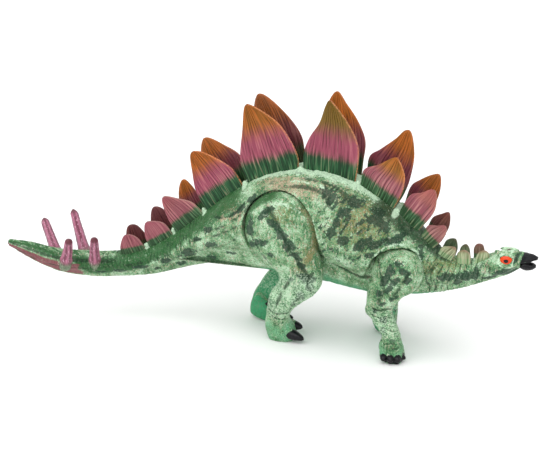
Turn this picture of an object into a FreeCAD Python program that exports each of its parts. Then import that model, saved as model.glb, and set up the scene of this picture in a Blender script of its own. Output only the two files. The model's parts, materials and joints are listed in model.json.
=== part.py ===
import FreeCAD, Part
import math
import os

# A moulded Stegosaurus figure, in millimetres. While the pieces are being made,
# +X points to the head, +Y to the animal's left and +Z up, the soles are on Z = 0 and
# the spine is on Y = 0. All pieces are then moved so that the origin is the centre
# of the whole figure's footprint.

Vector = FreeCAD.Vector

# ---------------------------------------------------------------- driving sizes
RIGHT = -1
LEFT = 1
SIDE_NAMES = {RIGHT: "right", LEFT: "left"}

TAIL_BEND_X = -40.0        # behind this station the tail curls to the animal's right
TAIL_BEND_SPAN = 105.0
TAIL_BEND_DEPTH = 46.0

# Stations of the body skin: x, lowest z, highest z, half width.
BODY_STATIONS = (
    (-139.0, 44.8, 48.8, 2.0),
    (-132.0, 37.8, 46.4, 3.8),
    (-120.0, 28.6, 41.0, 5.6),
    (-104.0, 23.3, 37.8, 6.9),
    (-87.0, 22.6, 37.6, 7.6),
    (-70.0, 24.2, 43.0, 9.0),
    (-54.0, 29.0, 53.6, 12.0),
    (-38.0, 34.0, 66.4, 16.0),
    (-22.0, 36.4, 79.4, 20.0),
    (-6.0, 35.8, 89.4, 24.0),
    (12.0, 35.4, 95.4, 27.0),
    (30.0, 34.0, 96.2, 28.0),
    (46.0, 32.0, 92.0, 27.4),
    (60.0, 31.0, 84.4, 25.0),
    (72.0, 32.4, 75.4, 21.6),
    (82.0, 33.4, 66.4, 16.4),
    (92.0, 35.4, 57.6, 10.8),
    (102.0, 38.6, 55.0, 7.8),
    (112.0, 42.8, 56.4, 6.8),
    (120.0, 46.6, 61.2, 6.8),
    (127.0, 50.2, 62.8, 6.4),
    (133.0, 54.4, 62.4, 4.8),
    (138.0, 57.0, 61.2, 2.8),
    (140.6, 58.4, 60.2, 1.0),
)
# Half of a body section: share of the half width, share of the height.
SECTION_SHAPE = (
    (0.24, 0.012), (0.42, 0.085), (0.56, 0.225), (0.84, 0.345), (0.99, 0.50),
    (0.96, 0.66), (0.78, 0.81), (0.52, 0.915), (0.26, 0.978),
)

WALL = 2.6                 # thickness of the two body shells
CAVITY_BACK_X = -56.0
CAVITY_FRONT_X = 96.0
CAVITY_OVERLAP = 1.0
CAVITY_HALF_WIDTHS = ((-56.0, 8.0), (-20.0, 12.0), (11.0, 12.6), (40.0, 12.6),
                      (60.0, 10.4), (84.0, 9.4), (96.0, 5.0))
POST_RADIUS = 3.0
POST_PIN_RADIUS = 1.4
POST_PIN_LENGTH = 4.0
POST_CLEARANCE = 0.05
POST_ROOT = 1.5            # how far a post reaches into the side wall
POST_HOLE_EXTRA = 0.5
POSTS = ((-38.0, 48.0), (34.0, 84.0), (40.0, 40.0), (88.0, 45.0))

# Leg pivots: x, z, pocket floor |y|, disc radius and the disc's outermost |y|.
HIP = {"x": 11.0, "z": 65.0, "floor": 16.0, "disc": 20.4, "crown": 27.6}
SHOULDER = {"x": 72.0, "z": 49.0, "floor": 13.0, "disc": 13.2, "crown": 23.8}
DISC_RIM_RISE = 0.30              # shares of the way from a disc's inner face to its crown
DISC_SHOULDER_RISE = 0.80
DISC_SHOULDER_REACH = 0.84        # share of the disc's radius
HIP_SWING = (-34.0, 6.0)          # degrees, foot forward is positive
SHOULDER_SWING = (-20.0, 36.0)
LEFT_REST_SWING = -17.0           # the left legs stand swung back by this much
LEFT_EXTRA_LENGTH = {"hip": 2.2, "shoulder": 1.7}
POCKET_MARGIN = 0.8
FACE_GAP = 0.4                    # between a leg's inner face and its pocket floor
POCKET_DEPTH = 24.0
FAN_STEPS = 8
BORE_EXTRA = 2.0                  # how far a pin's bore is cut past its wall

PIN_RADIUS = 4.0
PIN_RUNNING_CLEARANCE = 0.08
PIN_INNER_END = {"hip": 10.2, "shoulder": 6.4}
PIN_OUTER_END = {"hip": 21.5, "shoulder": 18.5}
RETAINER_RADIUS = 6.4
RETAINER_THICKNESS = 1.4
RETAINER_GAP = 0.3

LEG_SECTION_POINTS = 12
LEG_SECTION_ROUNDNESS = 0.78      # 1 is an ellipse, less is squarer
INNER_TRIM_SIZE = (90.0, 40.0, 60.0)
INNER_TRIM_BELOW_DISC = 8.0
FLOOR_TRIM_REACH = 200.0
CLAW_DROOP = 0.22
CLAW_TIP_SHARE = 0.34
# Sections down each right leg: centre x, centre z, half length, tilt of the section
# in degrees, inner |y|, outer |y|.
REAR_LEG_SECTIONS = (
    (17.0, 60.0, 13.0, 0.0, 16.4, 26.6),
    (19.0, 49.0, 14.6, 2.0, 16.4, 26.2),
    (21.6, 41.5, 12.0, -2.0, 16.4, 25.4),
    (19.4, 34.6, 10.2, -14.0, 16.4, 24.2),
    (13.4, 28.0, 8.2, -22.0, 13.0, 22.4),
    (8.6, 20.5, 6.8, -14.0, 10.0, 20.6),
    (6.6, 14.0, 6.2, -6.0, 7.6, 19.0),
    (7.2, 8.0, 7.4, 0.0, 5.4, 18.4),
    (8.0, 3.6, 8.0, 0.0, 4.4, 18.0),
    (8.0, 0.0, 7.0, 0.0, 5.4, 16.8),
)
FRONT_LEG_SECTIONS = (
    (70.6, 43.0, 11.6, 0.0, 13.4, 23.0),
    (66.6, 36.0, 9.2, 4.0, 13.4, 23.0),
    (64.3, 29.0, 6.8, 2.0, 13.4, 22.6),
    (66.2, 22.4, 5.5, 14.0, 13.3, 22.3),
    (69.8, 15.6, 4.7, 12.0, 13.0, 22.1),
    (71.0, 8.6, 5.5, 4.0, 12.2, 22.8),
    (71.5, 3.2, 6.1, 0.0, 11.4, 23.6),
    (71.7, 0.0, 5.0, 0.0, 12.4, 22.8),
)
# Outline of the upper leg that turns beside the flank, from the pivot round.
REAR_SWEEP_OUTLINE = ((0.0, 12.0), (20.4, 0.0), (22.4, -12.0), (23.6, -19.0),
                      (23.6, -25.0), (19.0, -32.0), (0.0, -32.0), (-12.0, -16.0))
FRONT_SWEEP_OUTLINE = ((0.0, 8.0), (12.0, -4.0), (3.0, -14.0), (0.0, -24.0),
                       (-14.4, -24.0), (-14.6, -13.0), (-13.4, -2.0))
# Claws: base x, base |y|, base z, length, base radius, heading in degrees from +X.
REAR_CLAWS = ((14.0, 14.4, 4.6, 8.4, 3.0, 8.0), (13.2, 6.8, 6.4, 5.2, 2.7, -4.0),
              (9.4, 5.6, 10.4, 3.2, 1.5, 0.0))
FRONT_CLAWS = ((67.8, 20.8, 3.3, 4.4, 2.1, 84.0), (70.8, 21.0, 3.3, 4.6, 2.2, 64.0),
               (73.4, 20.4, 3.3, 4.6, 2.2, 42.0), (74.6, 17.6, 3.2, 4.4, 2.1, 14.0))

# Back plates of each row, tail to neck: thickness, then the outline as x and z from the
# back corner of the root, over the top, to the front corner of the root.
RIGHT_PLATES = (
    (1.6, ((-86.0, 36.8), (-86.5, 41.0), (-84.5, 47.5), (-80.5, 48.5), (-76.5, 46.0), (-73.0, 40.2))),
    (1.7, ((-71.0, 41.2), (-73.0, 47.5), (-72.5, 55.5), (-67.0, 57.0), (-61.5, 55.5), (-57.5, 49.2))),
    (1.8, ((-56.0, 51.2), (-60.0, 59.0), (-62.5, 68.0), (-61.0, 71.8), (-53.5, 71.2), (-45.5, 69.5),
           (-39.5, 64.2))),
    (2.0, ((-38.0, 66.6), (-43.0, 76.0), (-44.5, 87.0), (-45.0, 97.0), (-41.0, 99.5), (-33.0, 97.5),
           (-22.0, 91.5), (-16.0, 82.6))),
    (2.2, ((-13.5, 85.2), (-17.0, 96.5), (-15.0, 114.0), (-13.5, 126.0), (-10.5, 128.0),
           (-3.5, 125.0), (5.0, 119.0), (11.0, 110.5), (15.0, 101.5), (15.0, 94.2))),
    (2.2, ((17.5, 94.8), (18.0, 104.0), (21.5, 113.0), (27.0, 121.5), (30.5, 131.0), (33.0, 134.0),
           (38.0, 129.0), (44.0, 120.0), (47.5, 111.0), (47.5, 102.0), (46.0, 91.4))),
    (2.0, ((48.5, 90.2), (50.5, 98.5), (58.0, 102.0), (66.5, 107.0), (69.5, 105.0), (72.0, 98.0),
           (71.5, 91.0), (69.0, 84.0), (66.5, 79.2))),
    (1.8, ((69.2, 77.4), (72.0, 83.0), (75.5, 88.0), (80.5, 89.5), (86.0, 92.0), (88.5, 89.5),
           (87.5, 80.0), (80.5, 69.4))),
    (1.6, ((82.0, 67.2), (84.5, 72.0), (89.0, 72.5), (93.5, 73.0), (94.0, 69.0), (91.5, 64.0),
           (88.4, 60.6))),
    (1.5, ((90.4, 57.8), (92.0, 61.0), (95.5, 62.0), (99.0, 61.8), (99.2, 58.5), (97.4, 54.8))),
    (1.4, ((99.8, 54.6), (100.2, 59.0), (103.5, 61.0), (106.5, 59.0), (107.0, 54.8))),
    (1.4, ((109.0, 55.0), (110.5, 60.0), (113.5, 62.0), (116.0, 60.5), (116.2, 57.2))),
)
LEFT_PLATES = (
    (1.6, ((-86.0, 36.8), (-86.5, 44.0), (-85.5, 50.0), (-81.5, 51.0), (-77.5, 47.5), (-73.0, 40.2))),
    (1.7, ((-71.0, 41.2), (-73.5, 52.0), (-73.0, 60.0), (-69.5, 61.5), (-64.5, 58.5), (-57.5, 49.2))),
    (1.8, ((-55.0, 52.0), (-58.0, 67.0), (-57.5, 75.0), (-55.0, 78.0), (-51.0, 75.5), (-46.0, 70.0),
           (-39.5, 64.2))),
    (2.0, ((-38.0, 66.6), (-44.0, 80.0), (-45.5, 92.0), (-45.0, 100.0), (-41.5, 102.5),
           (-32.0, 99.5), (-22.0, 94.5), (-16.0, 82.6))),
    (2.2, ((-13.5, 85.2), (-18.0, 98.0), (-16.0, 114.0), (-14.5, 126.5), (-11.0, 129.0),
           (-3.5, 125.0), (6.0, 117.0), (12.0, 109.5), (14.0, 103.0), (15.0, 94.2))),
    (2.2, ((17.5, 94.8), (18.0, 107.0), (23.0, 118.5), (27.0, 130.0), (31.0, 134.0), (36.0, 128.0),
           (42.5, 119.5), (47.0, 109.5), (46.5, 99.0), (46.0, 91.4))),
    (2.0, ((48.5, 90.2), (49.5, 101.5), (55.0, 106.0), (62.5, 112.0), (67.5, 117.0), (71.0, 115.5),
           (73.0, 104.0), (71.5, 92.0), (69.0, 84.0), (66.5, 79.2))),
    (1.8, ((69.0, 77.6), (72.0, 88.0), (76.5, 92.0), (83.0, 95.5), (87.0, 95.5), (87.5, 88.0),
           (85.0, 79.0), (80.5, 69.4))),
    (1.6, ((82.0, 67.2), (84.5, 73.0), (89.0, 75.5), (93.0, 76.5), (93.5, 70.0), (91.2, 64.2),
           (88.4, 60.6))),
    (1.5, ((90.4, 57.8), (92.6, 62.0), (97.0, 63.0), (98.4, 58.5), (97.6, 54.5))),
    (1.4, ((99.2, 54.6), (100.0, 59.0), (102.5, 61.0), (104.5, 59.0), (105.4, 54.8))),
    (1.4, ((107.0, 54.9), (106.8, 59.5), (108.5, 62.0), (111.5, 61.5), (113.0, 56.0))),
)
PLATES = {RIGHT: RIGHT_PLATES, LEFT: LEFT_PLATES}
PLATE_SPLAY = 6.0                 # degrees outward from upright
PLATE_ROOT_DEPTH = 3.2            # how far a root reaches into its slot
PLATE_ROOT_TAPER = 0.04           # share of the root's length lost at each end by its foot
ROW_OFFSETS = ((-90.0, 3.2), (-60.0, 4.2), (-20.0, 5.2), (60.0, 5.2), (90.0, 4.0),
               (120.0, 3.2))

# Tail spikes: root x and z, then how far each reaches forward, outward and up.
TAIL_SPIKES = {
    "right_rear": (RIGHT, -115.0, 33.8, 1.8, 11.6, 16.2),
    "right_front": (RIGHT, -101.0, 32.8, 0.6, 11.4, 17.2),
    "left_rear": (LEFT, -118.6, 35.4, -5.0, 13.0, 16.2),
    "left_front": (LEFT, -105.4, 34.0, -5.4, 11.6, 21.8),
}
SPIKE_OFFSET = 4.1                # from the middle of the tail to a spike's root
SPIKE_ROOT_RADIUS = 3.2
SPIKE_TIP_RADIUS = 2.0
SPIKE_ROOT_DEPTH = 1.5

# The mouth is cut level with its roof, back to where the lower beak sits.
MOUTH = {"x": 127.0, "roof_z": 56.8, "length": 20.0, "height": 20.0, "width": 30.0}
# Sections of the lower beak: x, lowest z, highest z, half width.
LOWER_BEAK_STATIONS = (
    (127.1, 50.5, 56.4, 5.4),
    (131.0, 50.9, 56.3, 4.5),
    (135.4, 51.9, 56.4, 3.4),
    (139.0, 53.9, 55.9, 1.5),
)
BEAK_PEG = {"z": 53.4, "radius": 1.5, "length": 5.0, "overlap": 1.0, "clearance": 0.06}
EYE = {"x": 124.6, "z": 58.6, "out": 3.9, "radius": 2.9}

MEASURING_TOLERANCE = 0.05


# ---------------------------------------------------------------- helper curves
def interpolate(table, x):
    """Value at x on a polyline of (x, value) pairs."""
    for (x0, v0), (x1, v1) in zip(table, table[1:]):
        if x <= x1:
            share = max(0.0, (x - x0) / (x1 - x0))
            return v0 + share * (v1 - v0)
    return table[-1][1]


def spine_y(x):
    """The spine's y: straight along the trunk and curled along the tail."""
    if x >= TAIL_BEND_X:
        return 0.0
    return -TAIL_BEND_DEPTH * ((TAIL_BEND_X - x) / TAIL_BEND_SPAN) ** 2


def closed_curve(points):
    """A smooth closed wire through the points, at even parameters."""
    curve = Part.BSplineCurve()
    steps = [float(i) for i in range(len(points) + 1)]
    curve.interpolate(Points=points, PeriodicFlag=True, Parameters=steps)
    return Part.Wire(curve.toShape())


def skin_section(side, x, low, high, half_width, overlap=0.0):
    """Half of a body section, closed on the middle surface or just past it."""
    height = high - low
    middle = spine_y(x) - side * overlap
    points = [Vector(x, middle, low)]
    for share, rise in SECTION_SHAPE:
        points.append(Vector(x, spine_y(x) + side * share * half_width, low + rise * height))
    points.append(Vector(x, middle, high))
    curve = Part.BSplineCurve()
    curve.interpolate(Points=points, Parameters=[float(i) for i in range(len(points))])
    return Part.Wire([curve.toShape(), Part.makeLine(points[-1], points[0])])


def half_skin(side, stations, overlap=0.0):
    wires = [skin_section(side, x, low, high, half, overlap)
             for x, low, high, half in stations]
    return Part.makeLoft(wires, True, False)


def full_skin(stations):
    return half_skin(RIGHT, stations).fuse(half_skin(LEFT, stations)).removeSplitter()


def side_cylinder(side, x, z, radius, inner, outer):
    """A cylinder along Y from |y| = inner to |y| = outer on one side."""
    return Part.makeCylinder(radius, outer - inner, Vector(x, side * inner, z),
                             Vector(0, side, 0))


def swing(shape, side, pivot, degrees):
    """Turn a leg shape about its pivot; the foot goes forward for positive angles."""
    turned = shape.copy()
    turned.rotate(Vector(pivot["x"], 0, pivot["z"]), Vector(0, -1, 0), degrees)
    return turned


def mirrored(shape):
    return shape.mirror(Vector(0, 0, 0), Vector(0, 1, 0))


# ---------------------------------------------------------------- back plates
def plate(side, thick, outline):
    """A leaf-shaped plate with its root, on the animal's left or right."""
    (back_x, back_z), (front_x, front_z) = outline[0], outline[-1]
    back = Vector(back_x, spine_y(back_x) + side * interpolate(ROW_OFFSETS, back_x), back_z)
    front = Vector(front_x, spine_y(front_x) + side * interpolate(ROW_OFFSETS, front_x),
                   front_z)
    along = front.sub(back)
    length = along.Length
    along.normalize()
    upright = Vector(0, 0, 1).sub(along * along.z)
    upright.normalize()
    outward = along.cross(upright) * -side
    splay = math.radians(PLATE_SPLAY)
    rise = upright * math.cos(splay) + outward * (math.sin(splay))
    normal = along.cross(rise)
    normal.normalize()

    level = math.hypot(front_x - back_x, front_z - back_z)
    slope_x = (front_x - back_x) / level
    slope_z = (front_z - back_z) / level

    def place(u, v):
        return back + along * u + rise * v - normal * (thick / 2)

    def place_outline(x, z):
        u = (x - back_x) * slope_x + (z - back_z) * slope_z
        v = (z - back_z) * slope_x - (x - back_x) * slope_z
        return place(u * length / level, v)

    edge = Part.BSplineCurve()
    edge.interpolate([place_outline(x, z) for x, z in outline])
    back_root = place(0, 0)
    front_root = place(length, 0)
    back_foot = place(length * PLATE_ROOT_TAPER, -PLATE_ROOT_DEPTH)
    front_foot = place(length * (1 - PLATE_ROOT_TAPER), -PLATE_ROOT_DEPTH)
    rim = Part.Wire([
        edge.toShape(),
        Part.makeLine(front_root, front_foot),
        Part.makeLine(front_foot, back_foot),
        Part.makeLine(back_foot, back_root),
    ])
    return Part.Face(rim).extrude(normal * thick)


def back_plates():
    plates = {}
    for side, side_name in SIDE_NAMES.items():
        for number, (thick, outline) in enumerate(PLATES[side], start=1):
            plates["plate_%s_%02d" % (side_name, number)] = plate(side, thick, outline)
    return plates


# ---------------------------------------------------------------- tail spikes
def tail_spike(side, root_x, root_z, forward, out, up):
    """A tapered blunt spike whose root is set into the top of the tail."""
    slope = 2 * TAIL_BEND_DEPTH * (TAIL_BEND_X - root_x) / TAIL_BEND_SPAN ** 2
    heading = Vector(1, slope, 0)
    heading.normalize()
    outward = Vector(-heading.y, heading.x, 0) * side
    root = Vector(root_x, spine_y(root_x), root_z) + outward * SPIKE_OFFSET
    reach = heading * forward + outward * out + Vector(0, 0, up)
    length = reach.Length
    reach.normalize()
    foot = root - reach * SPIKE_ROOT_DEPTH
    cone = Part.makeCone(SPIKE_ROOT_RADIUS, SPIKE_TIP_RADIUS,
                         length + SPIKE_ROOT_DEPTH, foot, reach)
    tip = Part.makeSphere(SPIKE_TIP_RADIUS, root + reach * length)
    return cone.fuse(tip).removeSplitter()


def tail_spikes():
    return {"tail_spike_" + name: tail_spike(*values) for name, values in TAIL_SPIKES.items()}


# ---------------------------------------------------------------- head pieces
def mouth_cut():
    corner = Vector(MOUTH["x"], -MOUTH["width"] / 2, MOUTH["roof_z"] - MOUTH["height"])
    return Part.makeBox(MOUTH["length"], MOUTH["width"], MOUTH["height"], corner)


def beak_peg(clearance):
    """The lower beak's peg, or with a clearance the hole for it in the head."""
    front_x = LOWER_BEAK_STATIONS[0][0] + BEAK_PEG["overlap"]
    back_x = MOUTH["x"] - BEAK_PEG["length"] - clearance
    return Part.makeCylinder(BEAK_PEG["radius"] + clearance, front_x - back_x,
                             Vector(back_x, 0, BEAK_PEG["z"]), Vector(1, 0, 0))


def lower_beak():
    """The lower beak with the peg that holds it in the head."""
    return full_skin(LOWER_BEAK_STATIONS).fuse(beak_peg(0.0))


def eyes():
    balls = {}
    for side, side_name in SIDE_NAMES.items():
        centre = Vector(EYE["x"], side * EYE["out"], EYE["z"])
        balls["eye_%s" % side_name] = Part.makeSphere(EYE["radius"], centre)
    return balls


# ---------------------------------------------------------------- legs
def leg_section(centre_x, centre_z, half_length, tilt, inner, outer):
    """A rounded closed wire across a right leg."""
    middle = -(inner + outer) / 2
    half_depth = (outer - inner) / 2
    tilt = math.radians(tilt)
    points = []
    for i in range(LEG_SECTION_POINTS):
        angle = 2 * math.pi * i / LEG_SECTION_POINTS
        reach = math.copysign(abs(math.cos(angle)) ** LEG_SECTION_ROUNDNESS, math.cos(angle))
        depth = math.copysign(abs(math.sin(angle)) ** LEG_SECTION_ROUNDNESS, math.sin(angle))
        points.append(Vector(centre_x + reach * half_length * math.cos(tilt),
                             middle + depth * half_depth,
                             centre_z + reach * half_length * math.sin(tilt)))
    return closed_curve(points)


def crowned_disc(pivot):
    """The round top of a right leg: flat inside and domed outside."""
    radius = pivot["disc"]
    outer = pivot["crown"]
    inner = pivot["floor"] + FACE_GAP
    rim_y = inner + (outer - inner) * DISC_RIM_RISE
    shoulder_y = inner + (outer - inner) * DISC_SHOULDER_RISE
    dome = Part.Arc(Vector(radius, -rim_y, 0), Vector(radius * DISC_SHOULDER_REACH, -shoulder_y, 0),
                    Vector(0, -outer, 0)).toShape()
    profile = Part.Wire([
        Part.makeLine(Vector(0, -inner, 0), Vector(radius, -inner, 0)),
        Part.makeLine(Vector(radius, -inner, 0), Vector(radius, -rim_y, 0)),
        dome,
        Part.makeLine(Vector(0, -outer, 0), Vector(0, -inner, 0)),
    ])
    disc = Part.Face(profile).revolve(Vector(0, 0, 0), Vector(0, 1, 0), 360)
    disc.translate(Vector(pivot["x"], 0, pivot["z"]))
    return disc


def claw(base_x, base_y, base_z, length, radius, heading):
    """A blunt claw on a right foot, resting on the floor."""
    turn = math.radians(heading)
    direction = Vector(math.cos(turn), -math.sin(turn), -CLAW_DROOP)
    direction.normalize()
    base = Vector(base_x, -base_y, base_z)
    cone = Part.makeCone(radius, radius * CLAW_TIP_SHARE, length, base, direction)
    tip = Part.makeSphere(radius * CLAW_TIP_SHARE, base + direction * length)
    return cone.fuse(tip)


def right_leg(pivot, sections, claws, extra_length):
    """A right leg in its straight stance, with the limb made longer below the pivot."""
    stretch = 1 + extra_length / pivot["z"]

    def lowered(z):
        return pivot["z"] - (pivot["z"] - z) * stretch

    wires = [leg_section(x, lowered(z), *rest) for x, z, *rest in sections]
    leg = crowned_disc(pivot).fuse(Part.makeLoft(wires, True, False))
    leg = leg.fuse([claw(x, y, lowered(z), *rest) for x, y, z, *rest in claws])
    length, depth, height = INNER_TRIM_SIZE
    corner = Vector(pivot["x"] - length / 2, -(pivot["floor"] + FACE_GAP),
                    pivot["z"] - pivot["disc"] - INNER_TRIM_BELOW_DISC)
    return leg.cut(Part.makeBox(length, depth, height, corner))


def stood_on_floor(leg):
    """Trim what would reach below the floor, which leaves a flat sole."""
    above_floor = Part.makeBox(2 * FLOOR_TRIM_REACH, 2 * FLOOR_TRIM_REACH, FLOOR_TRIM_REACH,
                               Vector(-FLOOR_TRIM_REACH, -FLOOR_TRIM_REACH, 0))
    return leg.common(above_floor).removeSplitter()


def pin_bore(side, pivot, name):
    return side_cylinder(side, pivot["x"], pivot["z"], PIN_RADIUS,
                         PIN_INNER_END[name] - BORE_EXTRA, PIN_OUTER_END[name])


def legs():
    pieces = {}
    for name, pivot, sections, claws, label in (
            ("rear_leg", HIP, REAR_LEG_SECTIONS, REAR_CLAWS, "hip"),
            ("front_leg", SHOULDER, FRONT_LEG_SECTIONS, FRONT_CLAWS, "shoulder")):
        bore = pin_bore(RIGHT, pivot, label)
        right = right_leg(pivot, sections, claws, 0.0)
        left = mirrored(right_leg(pivot, sections, claws, LEFT_EXTRA_LENGTH[label]))
        left = swing(left, LEFT, pivot, LEFT_REST_SWING)
        pieces[name + "_right"] = stood_on_floor(right).cut(bore)
        pieces[name + "_left"] = stood_on_floor(left).cut(mirrored(bore))
    return pieces


def retainer_ends(pivot):
    """Inner and outer |y| of the retainer that bears on the inside of the flank."""
    outer = interpolate(CAVITY_HALF_WIDTHS, pivot["x"])
    return outer - RETAINER_THICKNESS, outer


def retainer_seat(side, pivot):
    """Room for a retainer to turn, faced flat into the inside of the flank."""
    inner, outer = retainer_ends(pivot)
    return side_cylinder(side, pivot["x"], pivot["z"], RETAINER_RADIUS + RETAINER_GAP,
                         inner - RETAINER_GAP, outer + RETAINER_GAP)


def pivot_pins():
    """A pin fixed in each leg and the retainer pushed on its end inside the body."""
    pieces = {}
    for side, side_name in SIDE_NAMES.items():
        for name, pivot in (("hip", HIP), ("shoulder", SHOULDER)):
            inner = PIN_INNER_END[name]
            ring_inner, ring_outer = retainer_ends(pivot)
            pin = side_cylinder(side, pivot["x"], pivot["z"], PIN_RADIUS, inner,
                                PIN_OUTER_END[name])
            ring = side_cylinder(side, pivot["x"], pivot["z"], RETAINER_RADIUS,
                                 ring_inner, ring_outer)
            pieces["%s_pin_%s" % (name, side_name)] = pin
            pieces["%s_retainer_%s" % (name, side_name)] = ring.cut(pin)
    return pieces


# ---------------------------------------------------------------- body shells
def half_cavity(side):
    """The hollow inside one shell, cut just past the middle surface."""
    stations = []
    inside = [s for s in BODY_STATIONS if CAVITY_BACK_X < s[0] < CAVITY_FRONT_X]
    for x, low, high, half in inside:
        inner_half = min(half - WALL, interpolate(CAVITY_HALF_WIDTHS, x))
        stations.append((x, low + WALL, high - WALL, inner_half))
    return half_skin(side, stations, CAVITY_OVERLAP)


def swept_pocket(side, pivot, outline, limits):
    """Room in the flank for the upper leg over its whole swing."""
    floor = pivot["floor"]
    depth = Vector(0, side * POCKET_DEPTH, 0)
    grow = 1 + POCKET_MARGIN / pivot["disc"]
    reach = max(math.hypot(dx, dz) for dx, dz in outline) * grow
    hub = Vector(pivot["x"], side * floor, pivot["z"])
    rim = [hub + Vector(dx * grow, 0, dz * grow) for dx, dz in outline]
    limb = Part.Face(Part.makePolygon(rim + rim[:1])).extrude(depth)
    foot_x, foot_z = max(outline, key=lambda point: math.hypot(*point))
    lean = math.degrees(math.atan2(foot_x, -foot_z))
    fan = [hub]
    for i in range(FAN_STEPS + 1):
        angle = math.radians(lean + limits[0] + (limits[1] - limits[0]) * i / FAN_STEPS)
        fan.append(hub + Vector(reach * math.sin(angle), 0, -reach * math.cos(angle)))
    sector = Part.Face(Part.makePolygon(fan + fan[:1])).extrude(depth)
    disc = side_cylinder(side, pivot["x"], pivot["z"], pivot["disc"] + POCKET_MARGIN,
                         floor, floor + POCKET_DEPTH)
    return [disc, sector] + [swing(limb, side, pivot, angle) for angle in (*limits, 0)]


def posts(side):
    """Posts that meet on the parting surface; the left ones carry locating pins."""
    solids = []
    for x, z in POSTS:
        reach = interpolate(CAVITY_HALF_WIDTHS, x) + POST_ROOT
        solids.append(side_cylinder(side, x, z, POST_RADIUS, 0, reach))
    return solids


def post_pins(radius, length):
    return [side_cylinder(RIGHT, x, z, radius, 0, length) for x, z in POSTS]


def body_shells(set_in):
    """Two shells joined on the middle surface, with slots for the set-in pieces."""
    pieces = {}
    for side, side_name in SIDE_NAMES.items():
        shell = half_skin(side, BODY_STATIONS).cut(half_cavity(side)).fuse(posts(side))
        for name, pivot, outline, limits in (
                ("hip", HIP, REAR_SWEEP_OUTLINE, HIP_SWING),
                ("shoulder", SHOULDER, FRONT_SWEEP_OUTLINE, SHOULDER_SWING)):
            shell = shell.cut(swept_pocket(side, pivot, outline, limits))
            bore = side_cylinder(side, pivot["x"], pivot["z"],
                                 PIN_RADIUS + PIN_RUNNING_CLEARANCE,
                                 PIN_INNER_END[name] - BORE_EXTRA, pivot["floor"] + BORE_EXTRA)
            shell = shell.cut([bore, retainer_seat(side, pivot)])
        if side == LEFT:
            shell = shell.fuse(post_pins(POST_PIN_RADIUS, POST_PIN_LENGTH))
        else:
            shell = shell.cut(Part.makeCompound(
                post_pins(POST_PIN_RADIUS + POST_CLEARANCE, POST_PIN_LENGTH + POST_HOLE_EXTRA)))
        shell = shell.cut([mouth_cut(), beak_peg(BEAK_PEG["clearance"])] + set_in)
        pieces["body_shell_" + side_name] = shell
    return pieces


# ---------------------------------------------------------------- whole figure
def footprint_shift(pieces):
    """The move that puts the origin at the middle of the figure's footprint."""
    points = [point for shape in pieces.values()
              for point in shape.tessellate(MEASURING_TOLERANCE)[0]]
    middle_x = (min(p.x for p in points) + max(p.x for p in points)) / 2
    middle_y = (min(p.y for p in points) + max(p.y for p in points)) / 2
    return Vector(-middle_x, -middle_y, 0)


def main():
    set_in = {}
    set_in.update(back_plates())
    set_in.update(tail_spikes())
    set_in.update(eyes())
    pieces = body_shells(list(set_in.values()))
    pieces.update(set_in)
    pieces["lower_beak"] = lower_beak()
    pieces.update(legs())
    pieces.update(pivot_pins())
    shift = footprint_shift(pieces)
    os.makedirs("parts", exist_ok=True)
    for name, shape in pieces.items():
        shape.translate(shift)
        shape.exportStep("parts/%s.step" % name)
        print(name, "solids", len(shape.Solids), "valid", shape.isValid(),
              "volume", round(shape.Volume, 1))
    print("shift", shift)
    for name, pivot in (("hip", HIP), ("shoulder", SHOULDER)):
        print(name, "pivot at", pivot["x"] + shift.x, shift.y, pivot["z"] + shift.z)


main()
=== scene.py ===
import json
import math

import bpy
import numpy as np
import openvdb
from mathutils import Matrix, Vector


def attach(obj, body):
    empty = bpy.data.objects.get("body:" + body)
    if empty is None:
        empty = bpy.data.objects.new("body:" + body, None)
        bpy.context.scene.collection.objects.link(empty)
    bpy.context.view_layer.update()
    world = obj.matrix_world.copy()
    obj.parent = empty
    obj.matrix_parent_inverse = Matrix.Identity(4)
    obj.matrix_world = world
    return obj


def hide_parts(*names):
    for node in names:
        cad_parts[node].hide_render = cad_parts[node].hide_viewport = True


# A moulded and hand-sprayed Stegosaurus figure. Its shapes are worked out in millimetres
# in the figure's own frame: +X to the head, +Y to its left, +Z up, the spine on y = 0 and
# the soles on z = 0. to_row() moves them to the row frame, in metres.

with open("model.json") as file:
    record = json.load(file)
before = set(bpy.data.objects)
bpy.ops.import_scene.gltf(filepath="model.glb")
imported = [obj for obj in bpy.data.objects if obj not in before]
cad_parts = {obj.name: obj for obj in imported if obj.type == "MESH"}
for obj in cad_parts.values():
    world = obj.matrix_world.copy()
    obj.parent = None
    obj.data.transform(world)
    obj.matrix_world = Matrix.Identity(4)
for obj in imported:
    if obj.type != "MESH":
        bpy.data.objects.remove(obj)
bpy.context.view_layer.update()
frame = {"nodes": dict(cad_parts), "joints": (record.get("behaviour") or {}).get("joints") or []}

MM = 0.001
RIGHT = -1
LEFT = 1
SIDE_NAMES = {RIGHT: "right", LEFT: "left"}
TRUNK = "trunk"

joint_place = {joint["name"]: Vector(joint["pos_m"]) / MM for joint in frame["joints"]}
joint_range = {joint["name"]: joint["range_deg"] for joint in frame["joints"]}

# Leg pivots in the figure's own frame: x, z, |y| of the pocket floor, disc radius.
HIP = {"x": 11.0, "z": joint_place["hip_right"].z, "floor": 16.0, "disc": 20.4}
SHOULDER = {"x": 72.0, "z": joint_place["shoulder_right"].z, "floor": 13.0, "disc": 13.2}
SHIFT = np.array([joint_place["hip_right"].x - HIP["x"],
                  (joint_place["hip_right"].y + joint_place["hip_left"].y) / 2, 0.0])

BODY_VOXEL = 0.5
LEG_VOXEL = 0.42


# ---- numbers and curves
def smoothstep(low, high, values):
    """0 at low, 1 at high and a smooth turn between them."""
    share = np.clip((values - low) / (high - low), 0.0, 1.0)
    return share * share * (3 - 2 * share)


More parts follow.
